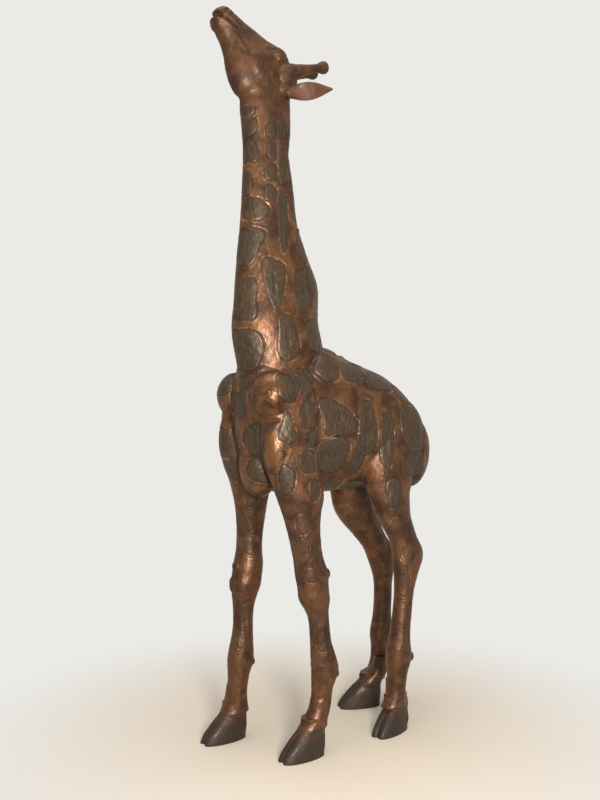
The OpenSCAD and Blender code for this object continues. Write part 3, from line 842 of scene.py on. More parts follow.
def mottle_group() -> bpy.types.NodeTree:
    """Uneven patina: broad clouds, small specks and a soft surface."""
    tree, given, out = new_group(
        "patina_mottle", {"Cloud size": 16.0, "Speck size": 150.0},
        {"Clouds": "NodeSocketFloat", "Specks": "NodeSocketFloat"})
    where = tree.add("ShaderNodeTexCoord").outputs["Object"]
    clouds = tree.add("ShaderNodeTexNoise", {"Vector": where, "Scale": given.outputs[0], "Detail": 5.0,
                                             "Roughness": 0.6, "Distortion": 0.6}).outputs[0]
    specks = tree.add("ShaderNodeTexNoise", {"Vector": where, "Scale": given.outputs[1], "Detail": 3.0,
                                             "Roughness": 0.65}).outputs[0]
    tree.tree.links.new(clouds, out.inputs["Clouds"])
    tree.tree.links.new(specks, out.inputs["Specks"])
    return tree.tree


def hair_group() -> bpy.types.NodeTree:
    """Short vertical hair lines chased into the wax."""
    tree, given, out = new_group(
        "chased_hair", {"Fineness": 330.0, "Length": 24.0}, {"Hair": "NodeSocketFloat"})
    where = tree.add("ShaderNodeTexCoord").outputs["Object"]
    bend = tree.add("ShaderNodeTexNoise", {"Vector": where, "Scale": 9.0, "Detail": 1.0}).outputs[1]
    moved = tree.add("ShaderNodeVectorMath", {0: bend, 1: (0.05, 0.05, 0.0)}, operation="MULTIPLY").outputs[0]
    where = tree.add("ShaderNodeVectorMath", {0: where, 1: moved}, operation="ADD").outputs[0]
    stretch = tree.add("ShaderNodeCombineXYZ", {
        0: given.outputs[0], 1: given.outputs[0], 2: given.outputs[1]}).outputs[0]
    where = tree.add("ShaderNodeVectorMath", {0: where, 1: stretch}, operation="MULTIPLY").outputs[0]
    hair = tree.noise(where, 1.0, 2.0, 0.5)
    tree.tree.links.new(hair, out.inputs["Hair"])
    return tree.tree


@dataclass(frozen=True)
class BronzeFinish:
    """A patinated bronze: brown ground, slate patches, copper where it is rubbed and as painted highlight, with
    painted shade on the head.
    """

    name: str
    ground_dark: Color
    ground_light: Color
    patch_color: Color
    groove_color: Color
    copper: Color
    bright: Color
    cloud_size: float = 16.0
    wear_and_sheen_gain: float = 1.0
    metallic: float = 0.45
    roughness: float = 0.42

    def make(self, mottle: bpy.types.NodeTree, hair: bpy.types.NodeTree) -> bpy.types.Material:
        """Build the material.

        Args:
            mottle: The shared patina group.
            hair: The shared hair-line group.

        Returns:
            The finished material.
        """
        material = bpy.data.materials.new(self.name)
        material.use_nodes = True
        tree = Tree(material.node_tree)
        marks = {n: tree.add("ShaderNodeAttribute", attribute_name=n).outputs["Fac"]
                 for n in ("patch", "groove", "rim", "rub", "crest")}
        clouds_node = tree.add("ShaderNodeGroup", node_tree=mottle)
        clouds_node.inputs["Cloud size"].default_value = self.cloud_size
        clouds, specks = clouds_node.outputs["Clouds"], clouds_node.outputs["Specks"]
        strands = tree.add("ShaderNodeGroup", node_tree=hair).outputs["Hair"]

        color = tree.mix(tree.ramp(clouds, 0.34, 0.66), self.ground_dark, self.ground_light)
        color = tree.mix(tree.times(tree.ramp(strands, 0.42, 0.62), 0.4), color, self.ground_dark)
        slate = tree.mix(tree.ramp(strands, 0.38, 0.66), self.groove_color, self.patch_color)
        slate = tree.mix(tree.times(tree.ramp(clouds, 0.5, 0.75), 0.35), slate, self.ground_light)
        slate = tree.mix(0.4, slate, self.patch_color)
        color = tree.mix(marks["patch"], color, slate)

        # Copper shows in broken spots on the crests, on the chased ridges and hardly at all on the patches; at
        # the shoulder knobs and forearms it is a painted highlight.
        broken = tree.ramp(tree.plus(clouds, tree.times(specks, 0.6)), 0.70, 1.0)
        bare = tree.math("SUBTRACT", 1.0, tree.times(marks["patch"], 0.8))
        touched_and_sheen = tree.plus(tree.times(marks["crest"], 0.7), marks["rub"])
        wear_and_sheen = tree.math("MULTIPLY", tree.times(touched_and_sheen, tree.times(broken, bare)), self.wear_and_sheen_gain, clamp=True)
        color = tree.mix(wear_and_sheen, color, self.copper)
        color = tree.mix(tree.times(marks["groove"], 0.8), color, self.groove_color)
        shine = tree.math("MULTIPLY", marks["rim"], tree.ramp(tree.plus(specks, clouds), 1.0, 1.24), clamp=True)
        color = tree.mix(tree.times(tree.times(marks["rim"], broken), 0.35), color, self.copper)
        color = tree.mix(tree.times(shine, 0.75), color, self.bright)

        # Painted shade: above 1.5 m, on the upper neck and head, the colour is darkened towards ground_dark to
        # dim the lamp light there, and the surface is made rougher. The colour is also darker on the legs,
        # below 0.85 m.
        where = tree.add("ShaderNodeTexCoord").outputs["Object"]
        height = tree.add("ShaderNodeSeparateXYZ", {0: where}).outputs[2]
        head_shade_and_matte = tree.ramp(height, 1.5, 2.0)
        color = tree.mix(tree.times(head_shade_and_matte, 0.30), color, self.ground_dark)
        color = tree.mix(tree.times(tree.ramp(height, 0.85, 0.55), 0.30), color, self.ground_dark)

        polish = tree.math("MAXIMUM", tree.times(marks["rub"], 0.8), tree.math("MAXIMUM", wear_and_sheen, shine))
        rough = tree.plus(self.roughness, tree.times(specks, 0.14))
        rough = tree.math("SUBTRACT", rough, tree.times(polish, 0.12))
        rough = tree.plus(rough, tree.times(head_shade_and_matte, 0.12))
        rough = tree.math("ADD", rough, tree.times(marks["groove"], 0.2), clamp=True)
        metal = tree.math("ADD", self.metallic, tree.times(polish, 0.95 - self.metallic), clamp=True)

        soft = tree.add("ShaderNodeBump", {"Height": specks, "Strength": 0.25, "Distance": 0.002}).outputs[0]
        lines = tree.add("ShaderNodeBump", {"Height": strands, "Normal": soft, "Strength": 0.30,
                                            "Distance": 0.0015}).outputs[0]
        shader = tree.add("ShaderNodeBsdfPrincipled", {
            "Base Color": color, "Roughness": rough, "Metallic": metal, "Normal": lines,
            "Coat Weight": 0.08, "Coat Roughness": 0.2, "Specular IOR Level": 0.5})
        out = tree.add("ShaderNodeOutputMaterial")
        tree.tree.links.new(shader.outputs[0], out.inputs[0])
        return material


BODY_BRONZE = BronzeFinish(
    name="brown_patina",
    ground_dark=(0.052, 0.023, 0.011, 1.0), ground_light=(0.180, 0.078, 0.031, 1.0),
    patch_color=(0.094, 0.065, 0.040, 1.0), groove_color=(0.018, 0.009, 0.005, 1.0),
    copper=(0.27, 0.13, 0.064, 1.0), bright=(0.58, 0.42, 0.27, 1.0), metallic=0.5, roughness=0.34)

HOOF_BRONZE = BronzeFinish(
    name="black_patina",
    ground_dark=(0.034, 0.018, 0.011, 1.0), ground_light=(0.105, 0.050, 0.026, 1.0),
    patch_color=(0.042, 0.034, 0.026, 1.0), groove_color=(0.008, 0.007, 0.006, 1.0),
    copper=(0.16, 0.10, 0.07, 1.0), bright=(0.3, 0.22, 0.16, 1.0),
    wear_and_sheen_gain=0.5, metallic=0.35, roughness=0.5)

EAR_BRONZE = BronzeFinish(
    name="rust_patina",
    ground_dark=(0.070, 0.028, 0.012, 1.0), ground_light=(0.17, 0.074, 0.032, 1.0),
    patch_color=(0.052, 0.040, 0.032, 1.0), groove_color=(0.020, 0.009, 0.006, 1.0),
    copper=(0.28, 0.13, 0.06, 1.0), bright=(0.5, 0.36, 0.22, 1.0))


# ---------------------------------------------------------------------------
# Cutting and closing the castings
# ---------------------------------------------------------------------------


@dataclass(frozen=True)
class Foundry:
    """Joint places and casting sizes, in millimetres."""

    hoof: float = 90.0
    knee: float = 425.0
    leg_top: float = 757.0
    neck_base: float = 1250.0
    neck: float = 1570.0
    head: float = 1960.0
    belly: float = 40.0
    half_bead: float = 3.0
    wall: float = 4.0
    lip: float = 15.0
    lip_gap: float = 0.6
    lip_wall: float = 3.0
    recess_spare: float = 8.0

    def levels(self) -> list[float]:
        """Return the heights of the level joints."""
        return [self.hoof, self.knee, self.leg_top, self.neck_base, self.neck, self.head]


class Cutter:
    """Cuts a fused skin at the foundry joints and closes each piece."""

    def __init__(self, foundry: Foundry) -> None:
        """Keep the foundry's sizes."""
        self.foundry = foundry

    def cut(self, obj: bpy.types.Object, level: float, across: bool = False) -> None:
        """Cut an object along a level plane, or along an upright plane across its length.

        Args:
            obj: The object to cut.
            level: The plane's height, or its place along Y, in millimetres.
            across: True for the upright plane.
        """
        pick(obj)
        axis = 1 if across else 2
        points = coordinates(obj) / MM
        near = np.abs(points[:, axis] - level) < 12.0
        if across:
            near &= points[:, 2] > 700.0
        self.select_points(obj, near)
        bpy.ops.object.mode_set(mode="EDIT")
        bpy.ops.mesh.bisect(plane_co=(0.0, level * MM if across else 0.0, 0.0 if across else level * MM),
                            plane_no=(0.0, 1.0, 0.0) if across else (0.0, 0.0, 1.0), threshold=1e-6)
        bpy.ops.object.mode_set(mode="OBJECT")

    @staticmethod
    def select_points(obj: bpy.types.Object, mask: np.ndarray) -> None:
        """Select the faces whose corners are all in the mask, and nothing else."""
        mesh = obj.data
        corner = np.empty(len(mesh.loops), np.int32)
        mesh.loops.foreach_get("vertex_index", corner)
        start = np.empty(len(mesh.polygons), np.int32)
        mesh.polygons.foreach_get("loop_start", start)
        whole = np.minimum.reduceat(mask[corner].astype(np.int8), start).astype(bool)
        vertices = np.zeros(len(mesh.vertices), bool)
        owner = np.repeat(np.arange(len(start)), np.diff(np.append(start, len(corner))))
        vertices[corner[whole[owner]]] = True
        mesh.vertices.foreach_set("select", vertices)
        ends = np.empty(len(mesh.edges) * 2, np.int32)
        mesh.edges.foreach_get("vertices", ends)
        ends = ends.reshape(-1, 2)
        mesh.edges.foreach_set("select", vertices[ends[:, 0]] & vertices[ends[:, 1]])
        mesh.polygons.foreach_set("select", whole)

    def select_rim(self, obj: bpy.types.Object, axis: int, level: float,
                   side: tuple[int, int] | None = None) -> tuple[Vector, Vector]:
        """Select an opening's edge loop.

        Args:
            obj: The piece.
            axis: 1 for an opening across Y, 2 for a level one.
            level: Where the opening's plane is, in millimetres.
            side: Signs of X and Y of the wanted opening, where there are several.

        Returns:
            Lowest and highest corner of the loop, in metres.
        """
        mesh = obj.data
        points = coordinates(obj)
        uses = np.empty(len(mesh.loops), np.int32)
        mesh.loops.foreach_get("edge_index", uses)
        open_edge = np.bincount(uses, minlength=len(mesh.edges)) == 1
        ends = np.empty(len(mesh.edges) * 2, np.int32)
        mesh.edges.foreach_get("vertices", ends)
        ends = ends.reshape(-1, 2)
        near = np.abs(points[:, axis] - level * MM) < 0.2 * MM
        if side:
            near &= (points[:, 0] * side[0] > 0) & ((points[:, 1] - 40 * MM) * side[1] > 0)
        chosen = open_edge & near[ends[:, 0]] & near[ends[:, 1]]
        vertices = np.zeros(len(points), bool)
        vertices[ends[chosen].ravel()] = True
        mesh.vertices.foreach_set("select", vertices)
        mesh.edges.foreach_set("select", chosen)
        mesh.polygons.foreach_set("select", np.zeros(len(mesh.polygons), bool))
        ring = points[vertices]
        return Vector(ring.min(0)), Vector(ring.max(0))

    def close(self, obj: bpy.types.Object, axis: int, level: float, outward: float, lip: bool,
              side: tuple[int, int] | None = None, partner: tuple[Vector, Vector] | None = None) -> None:
        """Close an opening with a rim and a spigot lip or the recess that takes one.

        Args:
            obj: The piece.
            axis: 1 for an opening across Y, 2 for a level one.
            level: Where the opening's plane is, in millimetres.
            outward: 1 where the opening faces up or back, -1 where it faces down or forward.
            lip: True for a lip, False for a recess.
            side: Signs of X and Y of the wanted opening.
            partner: Corners of the facing opening, which the lip has to enter.
        """
        pick(obj)
        low, high = self.select_rim(obj, axis, level, side)
        middle, size = (low + high) / 2, high - low
        bpy.ops.object.mode_set(mode="EDIT")
        bpy.context.tool_settings.mesh_select_mode = (False, True, False)
        across = [k for k in range(3) if k != axis]

        def draw_in(amount: float) -> None:
            """Extrude the loop and draw it in by an amount."""
            bpy.ops.mesh.extrude_region_move()
            factor = [1.0, 1.0, 1.0]
            for k in across:
                factor[k] = (size[k] - 2 * amount) / size[k]
                size[k] -= 2 * amount
            bpy.ops.transform.resize(value=factor, center_override=middle)

        def run(distance: float) -> None:
            """Extrude the loop along the opening's axis."""
            way = [0.0, 0.0, 0.0]
            way[axis] = outward * distance * MM
            middle[axis] += way[axis]
            bpy.ops.mesh.extrude_region_move(TRANSFORM_OT_translate={"value": way})

        f = self.foundry
        length = 2 * f.half_bead + f.lip
        if lip:
            inset = (f.wall + f.lip_gap) * MM
            if partner:
                other = partner[1] - partner[0]
                inset += max(0.0, max((size[k] - other[k]) / 2 for k in across))
            draw_in(inset)
            run(length)
            draw_in(f.lip_wall * MM)
            run(-(length + f.wall))
        else:
            draw_in(f.wall * MM)
            run(-(f.lip + f.recess_spare))
        bpy.ops.mesh.edge_face_add()
        bpy.ops.object.mode_set(mode="OBJECT")
        bpy.context.tool_settings.mesh_select_mode = (True, False, False)


class Castings:
    """The cut pieces by node name."""

    def __init__(self, foundry: Foundry) -> None:
        """Start with no pieces."""
        self.foundry = foundry
        self.pieces: dict[str, bpy.types.Object] = {}

    def names(self, centres: np.ndarray) -> np.ndarray:
        """Name the casting or bead that each face belongs to.

        Args:
            centres: Face centres in millimetres.

        Returns:
            An array of names.
        """
        f, hb = self.foundry, self.foundry.half_bead
        x, y, z = centres.T
        side = np.where(x > 0, "left_", "right_")
        leg = np.char.add(side, np.where(y < f.belly, "fore_", "hind_"))
        middle = np.where(y < f.belly, "knee_weld", "hock_weld")
        out = np.full(len(centres), "scrap", dtype="U32")

        def put(mask: np.ndarray, value: object) -> None:
            """Write names where the mask holds."""
            out[mask] = value[mask] if isinstance(value, np.ndarray) else value

        put(z < f.hoof - hb, np.char.add(leg, "hoof"))
        put((z > f.hoof - hb) & (z < f.hoof + hb), np.char.add(leg, "hoof_weld"))
        put((z > f.hoof + hb) & (z < f.knee - hb), np.char.add(leg, "lower_leg"))
        put((z > f.knee - hb) & (z < f.knee + hb), np.char.add(leg, middle))
        put((z > f.knee + hb) & (z < f.leg_top - hb), np.char.add(leg, "upper_leg"))
        put((z > f.leg_top - hb) & (z < f.leg_top + hb), np.char.add(leg, "top_weld"))
        trunk = (z > f.leg_top + hb) & (z < f.neck_base - hb)
        put(trunk & (y < f.belly - hb), "forequarters")
        put(trunk & (np.abs(y - f.belly) < hb), "belly_weld")
        put(trunk & (y > f.belly + hb), "hindquarters")
        put(np.abs(z - f.neck_base) < hb, "neck_base_weld")
        put((z > f.neck_base + hb) & (z < f.neck - hb), "neck_lower")
        put(np.abs(z - f.neck) < hb, "neck_weld")
        put((z > f.neck + hb) & (z < f.head - hb), "neck_upper")
        put(np.abs(z - f.head) < hb, "head_weld")
        return out

    def split(self, obj: bpy.types.Object) -> None:
        """Divide the cut skin into its named pieces."""
        mesh = obj.data
        centres = np.empty(len(mesh.polygons) * 3, np.float32)
        mesh.polygons.foreach_get("center", centres)
        names = self.names(centres.reshape(-1, 3).astype(float) / MM)
        order = sorted(set(names.tolist()))
        for name in order:
            mesh.materials.append(bpy.data.materials.new("cut_" + name))
        numbers = np.array([order.index(name) for name in names.tolist()], np.int32)
        mesh.polygons.foreach_set("material_index", numbers)
        pick(obj)
        bpy.ops.object.mode_set(mode="EDIT")
        bpy.ops.mesh.select_all(action="SELECT")
        bpy.ops.mesh.separate(type="MATERIAL")
        bpy.ops.object.mode_set(mode="OBJECT")
        for part in {*bpy.context.selected_objects, obj}:
            slots = part.data.materials
            label = slots[min(part.data.polygons[0].material_index, len(slots) - 1)].name
            name = label.removeprefix("cut_")
            slots.clear()
            if name == "scrap":
                bpy.data.objects.remove(part)
                continue
            part.name = name + "_bronze"
            part.data.name = part.name
            self.pieces[name] = part
        for material in [m for m in bpy.data.materials if m.name.startswith("cut_")]:
            bpy.data.materials.remove(material)


# ---------------------------------------------------------------------------
# Sub-assemblies
# ---------------------------------------------------------------------------


@dataclass
class Hoof:
    """A cloven hoof: two toes and a heel, in millimetres, pointing forward before it is turned."""

    x: float
    y: float
    turn: float
    leg: float

    toe: list[Section] = field(default_factory=lambda: rows(
        (13, -4, -6, 24.5, 73), (13, -4, 5, 25, 73), (12.5, 2, 24, 24.5, 69), (12, 12, 44, 24, 61),
        (11.5, 20, 60, 22.5, 53), (10.5, 27, 74, 20, 46), (9, 31, 84, 16, 38)))

    def forms(self) -> list[bpy.types.Object]:
        """Loft the toes, the web between them, the heel and the pastern, and put them in place."""
        toe = in_between(self.toe, 2)
        out = [loft("toe", [replace(s, x=way * s.x) for s in toe], 32) for way in (1, -1)]
        web = [replace(s, x=0, half_width=16, half_depth=s.half_depth - 7) for s in toe]
        out.append(loft("web", web, 32))
        out.append(lump(Mass(0, 50, 34, 33, 24, 38)))
        slope = self.leg - 31
        out.append(loft("pastern", in_between(rows(
            (0, 29, 62, 31, 46), (0, 31, 78, 35, 47), (0, 33 + 0.15 * slope, 92, 35, 44),
            (0, 33 + 0.4 * slope, 108, 33.5, 40), (0, 33 + 0.62 * slope, 124, 31.5, 36),
            (0, 32 + 0.85 * slope, 142, 30, 33.5), (0, self.leg, 168, 29, 31))), 40))
        turned = math.radians(self.turn)
        spin = np.array([[math.cos(turned), -math.sin(turned), 0], [math.sin(turned), math.cos(turned), 0],
                         [0, 0, 1]])
        for obj in out:
            place_points(obj, (coordinates(obj) / MM @ spin.T + np.array([self.x, self.y, 0.0])) * MM)
        return out


@dataclass
class Wax:
    """The whole animal below the head as one fused and chased skin."""

    anatomy: Anatomy
    coat: Coat
    lines: Lines
    voxel: float = 2.95
    hooves: list[Hoof] = field(default_factory=lambda: [
        Hoof(127, -173, 0, 66), Hoof(-127, -294, 0, 42), Hoof(123, 176, 14, 24), Hoof(-120, 246, -20, 88)])

    def build(self) -> bpy.types.Object:
        """Loft, fuse, smooth and chase the figure.

        Returns:
            One closed skin, cut flat at the soles.
        """
        a = self.anatomy
        forms = [loft("neck", in_between(a.neck), 56), loft("trunk", in_between(a.trunk), 64),
                 loft("skull", in_between(a.head), 48)]
        legs = (a.left_fore, a.right_fore, a.left_hind, a.right_hind)
        forms += [loft("leg", in_between(sections), 40) for sections in legs]
        forms += [lump(m) for m in a.masses()]
        for hoof in self.hooves:
            forms += hoof.forms()
        skin = join(forms, "wax")
        fuse(skin, self.voxel * MM, 7)
        self.flatten_soles(skin)
        crest(skin)
        Chaser(self.coat.patches(), self.lines.body + self.lines.legs).work(skin)
        LOG.info("wax: %d faces", len(skin.data.polygons))
        return skin

    @staticmethod
    def flatten_soles(skin: bpy.types.Object) -> None:
        """Cut the figure off at the floor and close the four soles."""
        pick(skin)
        bpy.ops.object.mode_set(mode="EDIT")
        bpy.ops.mesh.select_all(action="SELECT")
        bpy.ops.mesh.bisect(plane_co=(0, 0, 0), plane_no=(0, 0, 1), clear_inner=True, use_fill=True)
        bpy.ops.object.mode_set(mode="OBJECT")


def crest(obj: bpy.types.Object) -> None:
    """Mark the points that stand out of the broad form, where hands polish the patina off, less so high up."""
    before = coordinates(obj)
    facing = normals(obj)
    copy = obj.copy()
    copy.data = obj.data.copy()
    bpy.context.scene.collection.objects.link(copy)
    pick(copy)
    smooth = copy.modifiers.new("relax", "SMOOTH")
    smooth.iterations = 60
    bpy.ops.object.modifier_apply(modifier=smooth.name)
    after = coordinates(copy)
    bpy.data.objects.remove(copy)
    height = ((before - after) * facing).sum(1) / MM
    store(obj, "crest", step(0.05, 0.9, height) * (1.0 - 0.7 * step(1.15, 1.5, before[:, 2])))


@dataclass
class Head:
    """The head casting with its lips, eyes, brows and bosses."""

    anatomy: Anatomy
    lines: Lines
    foundry: Foundry
    voxel: float = 1.7

    def masses(self) -> list[Mass]:
        """Return the head's rounded forms."""
        sides = [Mass(38, -268, 2062, 24, 40, 62, 35), Mass(35, -206, 2113, 25, 36, 24, 0),
                 Mass(48, -208, 2103, 13, 14, 14), Mass(36, -180, 2056, 28, 38, 40),
                 Mass(20, -367, 2206, 13, 18, 12, 40), Mass(36, -184, 2014, 24, 34, 26),
                 Mass(24, -150, 2083, 22, 40, 23, 17)]
        middle = [Mass(0, -387, 2181, 29, 25, 29, 0), Mass(0, -379, 2214, 30, 27, 16, 20),
                  Mass(0, -160, 2060, 44, 48, 50)]
        return sides + [m.mirrored() for m in sides] + middle

    def build(self) -> bpy.types.Object:
        """Build the head and cut it off the neck."""
        forms = [loft("throat", in_between(self.anatomy.neck[-5:]), 56),
                 loft("skull", in_between(self.anatomy.head), 48)]
        forms += [lump(m) for m in self.masses()]
        head = join(forms, "head_bronze")
        fuse(head, self.voxel * MM, 5)
        crest(head)
        Chaser([], self.lines.head).work(head)
        pick(head)
        bpy.ops.object.mode_set(mode="EDIT")
        bpy.ops.mesh.select_all(action="SELECT")
        bpy.ops.mesh.bisect(plane_co=(0, 0, (self.foundry.head + self.foundry.half_bead) * MM),
                            plane_no=(0, 0, 1), clear_inner=True)
        bpy.ops.object.mode_set(mode="OBJECT")
        return head


@dataclass
class Horn:
    """A short knobbed horn with its peg, along its own axis, in millimetres."""

    side: Side
    outline: tuple[tuple[float, float], ...] = (
        (-16, 9), (-0.5, 9), (0, 17.5), (10, 20), (20, 19.2), (38, 17), (60, 14.6), (80, 13.6), (94, 14.4),
        (103, 17.8), (111, 19.6), (118, 19.2), (123, 16.5), (127, 10.5), (128, 4))

    def build(self) -> bpy.types.Object:
        """Loft the horn and set it on the head."""
        obj = loft("horn", [Section(0, 0, z, r, r) for z, r in self.outline], 36)
        return stand(obj, self.side, (23.5, -131.5, 2087), (-73, 0, -3), 0.0)


@dataclass
class Ear:
    """A pointed, cupped ear with its peg, along its own axis, in millimetres."""

    side: Side
    outline: tuple[tuple[float, float, float, float], ...] = (
        (-16, 9, 9, 0), (-0.5, 9, 9, 0), (0, 17, 15, 0), (8, 17.5, 14.5, 0.1), (20, 20, 13, 0.4),
        (38, 25, 11.5, 0.8), (64, 27, 10, 1.15), (92, 22, 8, 1.1), (114, 13, 6, 0.8), (128, 7, 4.5, 0.4),
        (136, 3.5, 3, 0.2), (139, 1.5, 1.5, 0))

    def build(self) -> bpy.types.Object:
        """Loft the ear, hollow its front and set it on the head."""
        obj = loft("ear", in_between([Section(0, 0, z, a, b) for z, a, b, _ in self.outline], 2), 40)
        points = coordinates(obj) / MM
        cup = np.interp(points[:, 2], [row[0] for row in self.outline], [row[3] for row in self.outline])
        points[:, 1] *= np.where(points[:, 1] < 0, 1.0 - cup, 1.0)
        place_points(obj, points * MM)
        return stand(obj, self.side, (46, -172, 2005), (-86, 0, -38), 112.0)


def stand(obj: bpy.types.Object, side: Side, place: tuple[float, float, float],
          turn: tuple[float, float, float], roll: float) -> bpy.types.Object:
    """Turn a piece from its own axis to its place on the head.

    Args:
        obj: The piece along Z.
        side: Side of the head.
        place: Where its foot goes, in millimetres.
        turn: Turns about X, Y and Z in degrees.
        roll: Turn about its own axis first.

    Returns:
        The piece, with its place in its mesh.
    """
    matrix = (Matrix.Translation(Vector(place) * MM)
              @ Euler([math.radians(v) for v in turn], "XYZ").to_matrix().to_4x4()
              @ Matrix.Rotation(math.radians(roll), 4, "Z"))
    obj.data.transform(matrix)
    if side is Side.RIGHT:
        obj.data.transform(Matrix.Scale(-1, 4, (1, 0, 0)))
        obj.data.flip_normals()
    return obj


@dataclass
class Tail:
    """A slim tail that hugs the rump and ends in a tuft, in millimetres."""

    spine: tuple[tuple[float, float, float, float], ...] = (
        (377, 985, 16, 9), (389, 978, 15, 11), (393, 955, 13, 12.5), (393, 925, 12.5, 12.5),
        (388, 885, 11.5, 11.5), (378, 845, 10.5, 10.5), (364, 800, 9.5, 9.5), (350, 755, 9.5, 9.5),
        (342, 715, 12, 11.5),
        (340, 680, 16, 14.5), (342, 640, 17, 14.5), (345, 605, 12, 11), (347, 585, 6, 6), (347, 578, 2, 2))

    def build(self) -> bpy.types.Object:
        """Loft the tail along its curve."""
        upwards = [Section(0, y, z, a, b) for y, z, a, b in self.spine[::-1]]
        return loft("tail_bronze", in_between(upwards, 3), 28)


@dataclass
class Statue:
    """The assembled bronze."""

    foundry: Foundry = field(default_factory=Foundry)
    anatomy: Anatomy = field(default_factory=Anatomy)
    coat: Coat = field(default_factory=Coat)
    lines: Lines = field(default_factory=Lines)

    def build(self) -> dict[str, bpy.types.Object]:
        """Build every piece.

        Returns:
            The pieces by the name of the node that each stands for.
        """
        f, hb = self.foundry, self.foundry.half_bead
        skin = Wax(self.anatomy, self.coat, self.lines).build()
        cutter = Cutter(f)
        for level in f.levels():
            for shift in (-hb, hb):
                cutter.cut(skin, level + shift)
        for shift in (-hb, hb):
            cutter.cut(skin, f.belly + shift, across=True)
        castings = Castings(f)
        castings.split(skin)
        pieces = castings.pieces
        pieces["head"] = Head(self.anatomy, self.lines, f).build()
        self.close_all(cutter, pieces)
        for side in Side:
            word = side.name.lower()
            pieces[word + "_horn"] = Horn(side).build()
            pieces[word + "_ear"] = Ear(side).build()
        pieces["tail"] = Tail().build()
        return pieces

    def close_all(self, cutter: Cutter, pieces: dict[str, bpy.types.Object]) -> None:
        """Close the openings of every casting and give every bead its thickness."""
        f, hb = self.foundry, self.foundry.half_bead
        for name, obj in pieces.items():
            if name.endswith("_weld"):
                pick(obj)
                solid = obj.modifiers.new("bead", "SOLIDIFY")
                solid.thickness = f.wall * MM
                solid.offset = -1.0
                bpy.ops.object.modifier_apply(modifier=solid.name)
        joints = [(f.neck_base, "forequarters", "neck_lower"), (f.neck, "neck_lower", "neck_upper"),
                  (f.head, "neck_upper", "head")]
        for level, low, high in joints:
            partner = cutter.select_rim(pieces[high], 2, level + hb)
            cutter.close(pieces[low], 2, level - hb, 1, True, partner=partner)
            cutter.close(pieces[high], 2, level + hb, -1, False)
        for word, x in (("left", 1), ("right", -1)):
            for place, y, body in (("fore", -1, "forequarters"), ("hind", 1, "hindquarters")):
                leg = f"{word}_{place}_"
                stack = [(f.hoof, leg + "hoof", leg + "lower_leg", None),
                         (f.knee, leg + "lower_leg", leg + "upper_leg", None),
                         (f.leg_top, leg + "upper_leg", body, (x, y))]
                for level, low, high, side in stack:
                    partner = cutter.select_rim(pieces[high], 2, level + hb, side)
                    cutter.close(pieces[low], 2, level - hb, 1, True, partner=partner)
                    cutter.close(pieces[high], 2, level + hb, -1, False, side=side)
        partner = cutter.select_rim(pieces["hindquarters"], 1, f.belly + hb)
        cutter.close(pieces["forequarters"], 1, f.belly - hb, 1, True, partner=partner)
        cutter.close(pieces["hindquarters"], 1, f.belly + hb, -1, False)

    @staticmethod
    def dress(pieces: dict[str, bpy.types.Object]) -> None:
        """Give every piece its finish and its body, name it after its node and hide that node's part."""
        mottle, hair = mottle_group(), hair_group()
        body, hoof, ear = (finish.make(mottle, hair) for finish in (BODY_BRONZE, HOOF_BRONZE, EAR_BRONZE))
        for name, obj in pieces.items():
            obj.name = name + "_bronze"
            obj.data.name = obj.name
            obj.data.materials.clear()
            dark = name.endswith("_hoof")
            obj.data.materials.append(hoof if dark else ear if name.endswith("_ear") else body)
            pick(obj)
            bpy.ops.object.shade_smooth_by_angle(angle=math.radians(50))
            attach(obj, BODY)
            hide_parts(name)
            LOG.info("piece %-24s %7d faces", name, len(obj.data.polygons))


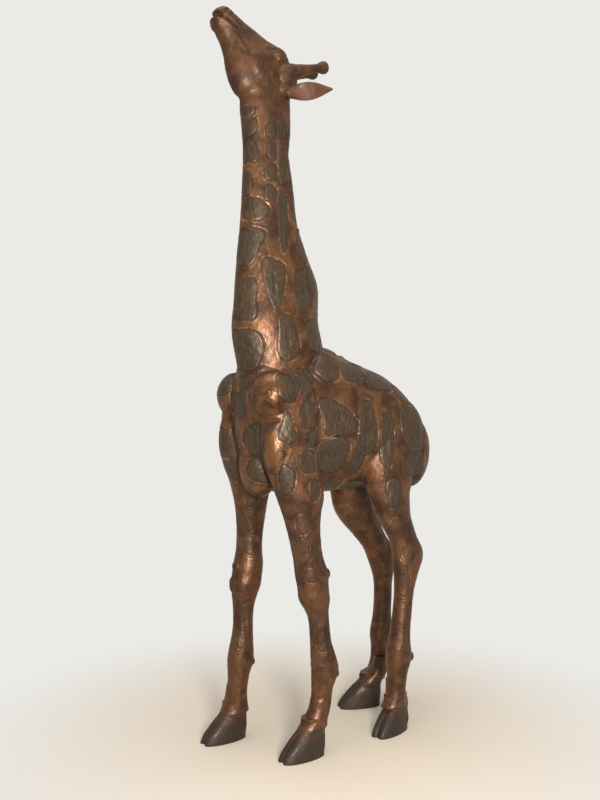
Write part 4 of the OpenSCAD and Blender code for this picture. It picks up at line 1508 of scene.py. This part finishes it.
@dataclass
class Studio:
    """Camera, floor, world and lamps."""

    camera_place: tuple[float, float, float] = (2.245, -1.671, 1.066)
    heading: float = 54.9
    lens: float = 39.15
    back_color: Color = (0.831, 0.823, 0.791, 1.0)
    air_color: Color = (1.0, 0.93, 0.82, 1.0)
    air_strength: float = 0.58
    floor_color: Color = (0.70, 0.635, 0.555, 1.0)
    floor_glow: float = 0.05

    def camera(self) -> None:
        """Set the camera at the viewing angle."""
        data = bpy.data.cameras.new("camera")
        data.lens, data.sensor_width, data.sensor_fit = self.lens, 36.0, "AUTO"
        obj = bpy.data.objects.new("camera", data)
        bpy.context.scene.collection.objects.link(obj)
        obj.location = self.camera_place
        obj.rotation_euler = (math.radians(90), 0.0, math.radians(self.heading))
        bpy.context.scene.camera = obj

    def lamp(self, name: str, place: tuple[float, float, float], size: float, power: float,
             color: tuple[float, float, float], aim: tuple[float, float, float] = (0.0, 0.0, 1.1)) -> None:
        """Add a square soft lamp aimed at a point."""
        data = bpy.data.lights.new(name, "AREA")
        data.size, data.energy, data.color = size, power, color
        obj = bpy.data.objects.new(name, data)
        bpy.context.scene.collection.objects.link(obj)
        obj.location = place
        obj.rotation_euler = (Vector(aim) - Vector(place)).to_track_quat("-Z", "Y").to_euler()

    def floor(self) -> None:
        """Add the plain pale floor."""
        deselect_all()
        bpy.ops.mesh.primitive_circle_add(vertices=96, radius=14.0, fill_type="NGON", location=(0, 0, 0))
        obj = bpy.context.object
        obj.name = "floor"
        material = bpy.data.materials.new("floor_paper")
        material.use_nodes = True
        tree = Tree(material.node_tree)
        where = tree.add("ShaderNodeTexCoord").outputs["Object"]
        far = tree.add("ShaderNodeVectorMath", {0: where}, operation="LENGTH").outputs["Value"]
        fade = tree.math("SUBTRACT", 1.0, tree.ramp(far, 0.25, 1.35))
        shader = tree.add("ShaderNodeBsdfPrincipled", {
            "Base Color": self.floor_color, "Roughness": 0.9, "Specular IOR Level": 0.1, "Alpha": fade,
            "Emission Color": self.back_color, "Emission Strength": self.floor_glow})
        tree.tree.links.new(shader.outputs[0], tree.add("ShaderNodeOutputMaterial").inputs[0])
        obj.data.materials.append(material)

    def world(self) -> None:
        """Light the scene softly from all round."""
        world = bpy.data.worlds.new("studio")
        world.use_nodes = True
        bpy.context.scene.world = world
        bpy.context.scene.view_settings.view_transform = "Standard"
        tree = Tree(world.node_tree)
        paper = tree.add("ShaderNodeBackground", {"Color": self.back_color, "Strength": 1.0}).outputs[0]
        air = tree.add("ShaderNodeBackground", {
            "Color": self.air_color, "Strength": self.air_strength}).outputs[0]
        seen = tree.add("ShaderNodeLightPath").outputs["Is Camera Ray"]
        both = tree.add("ShaderNodeMixShader", {0: seen, 1: air, 2: paper}).outputs[0]
        tree.tree.links.new(both, tree.add("ShaderNodeOutputWorld").inputs[0])

    def build(self) -> None:
        """Set up everything that isn't the statue."""
        self.camera()
        self.world()
        self.floor()
        right = Vector((math.cos(math.radians(self.heading)), math.sin(math.radians(self.heading)), 0))
        ahead = Vector((-math.sin(math.radians(self.heading)), math.cos(math.radians(self.heading)), 0))
        eye = Vector(self.camera_place)
        key = eye + right * 0.55 - ahead * 0.1 + Vector((0, 0, 0.2))
        self.lamp("key", tuple(key), 0.5, 90.0, (1.0, 0.93, 0.84), (0.0, -0.1, 1.0))
        self.lamp("fill", (0.4, -0.6, 4.2), 2.5, 45.0, (1.0, 0.96, 0.90))


def main() -> None:
    """Build every piece in order, set the stage and finish."""
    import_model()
    deselect_all()
    statue = Statue()
    pieces = statue.build()
    statue.dress(pieces)
    Studio().build()
    deselect_all()


if __name__ == "__main__":
    main()
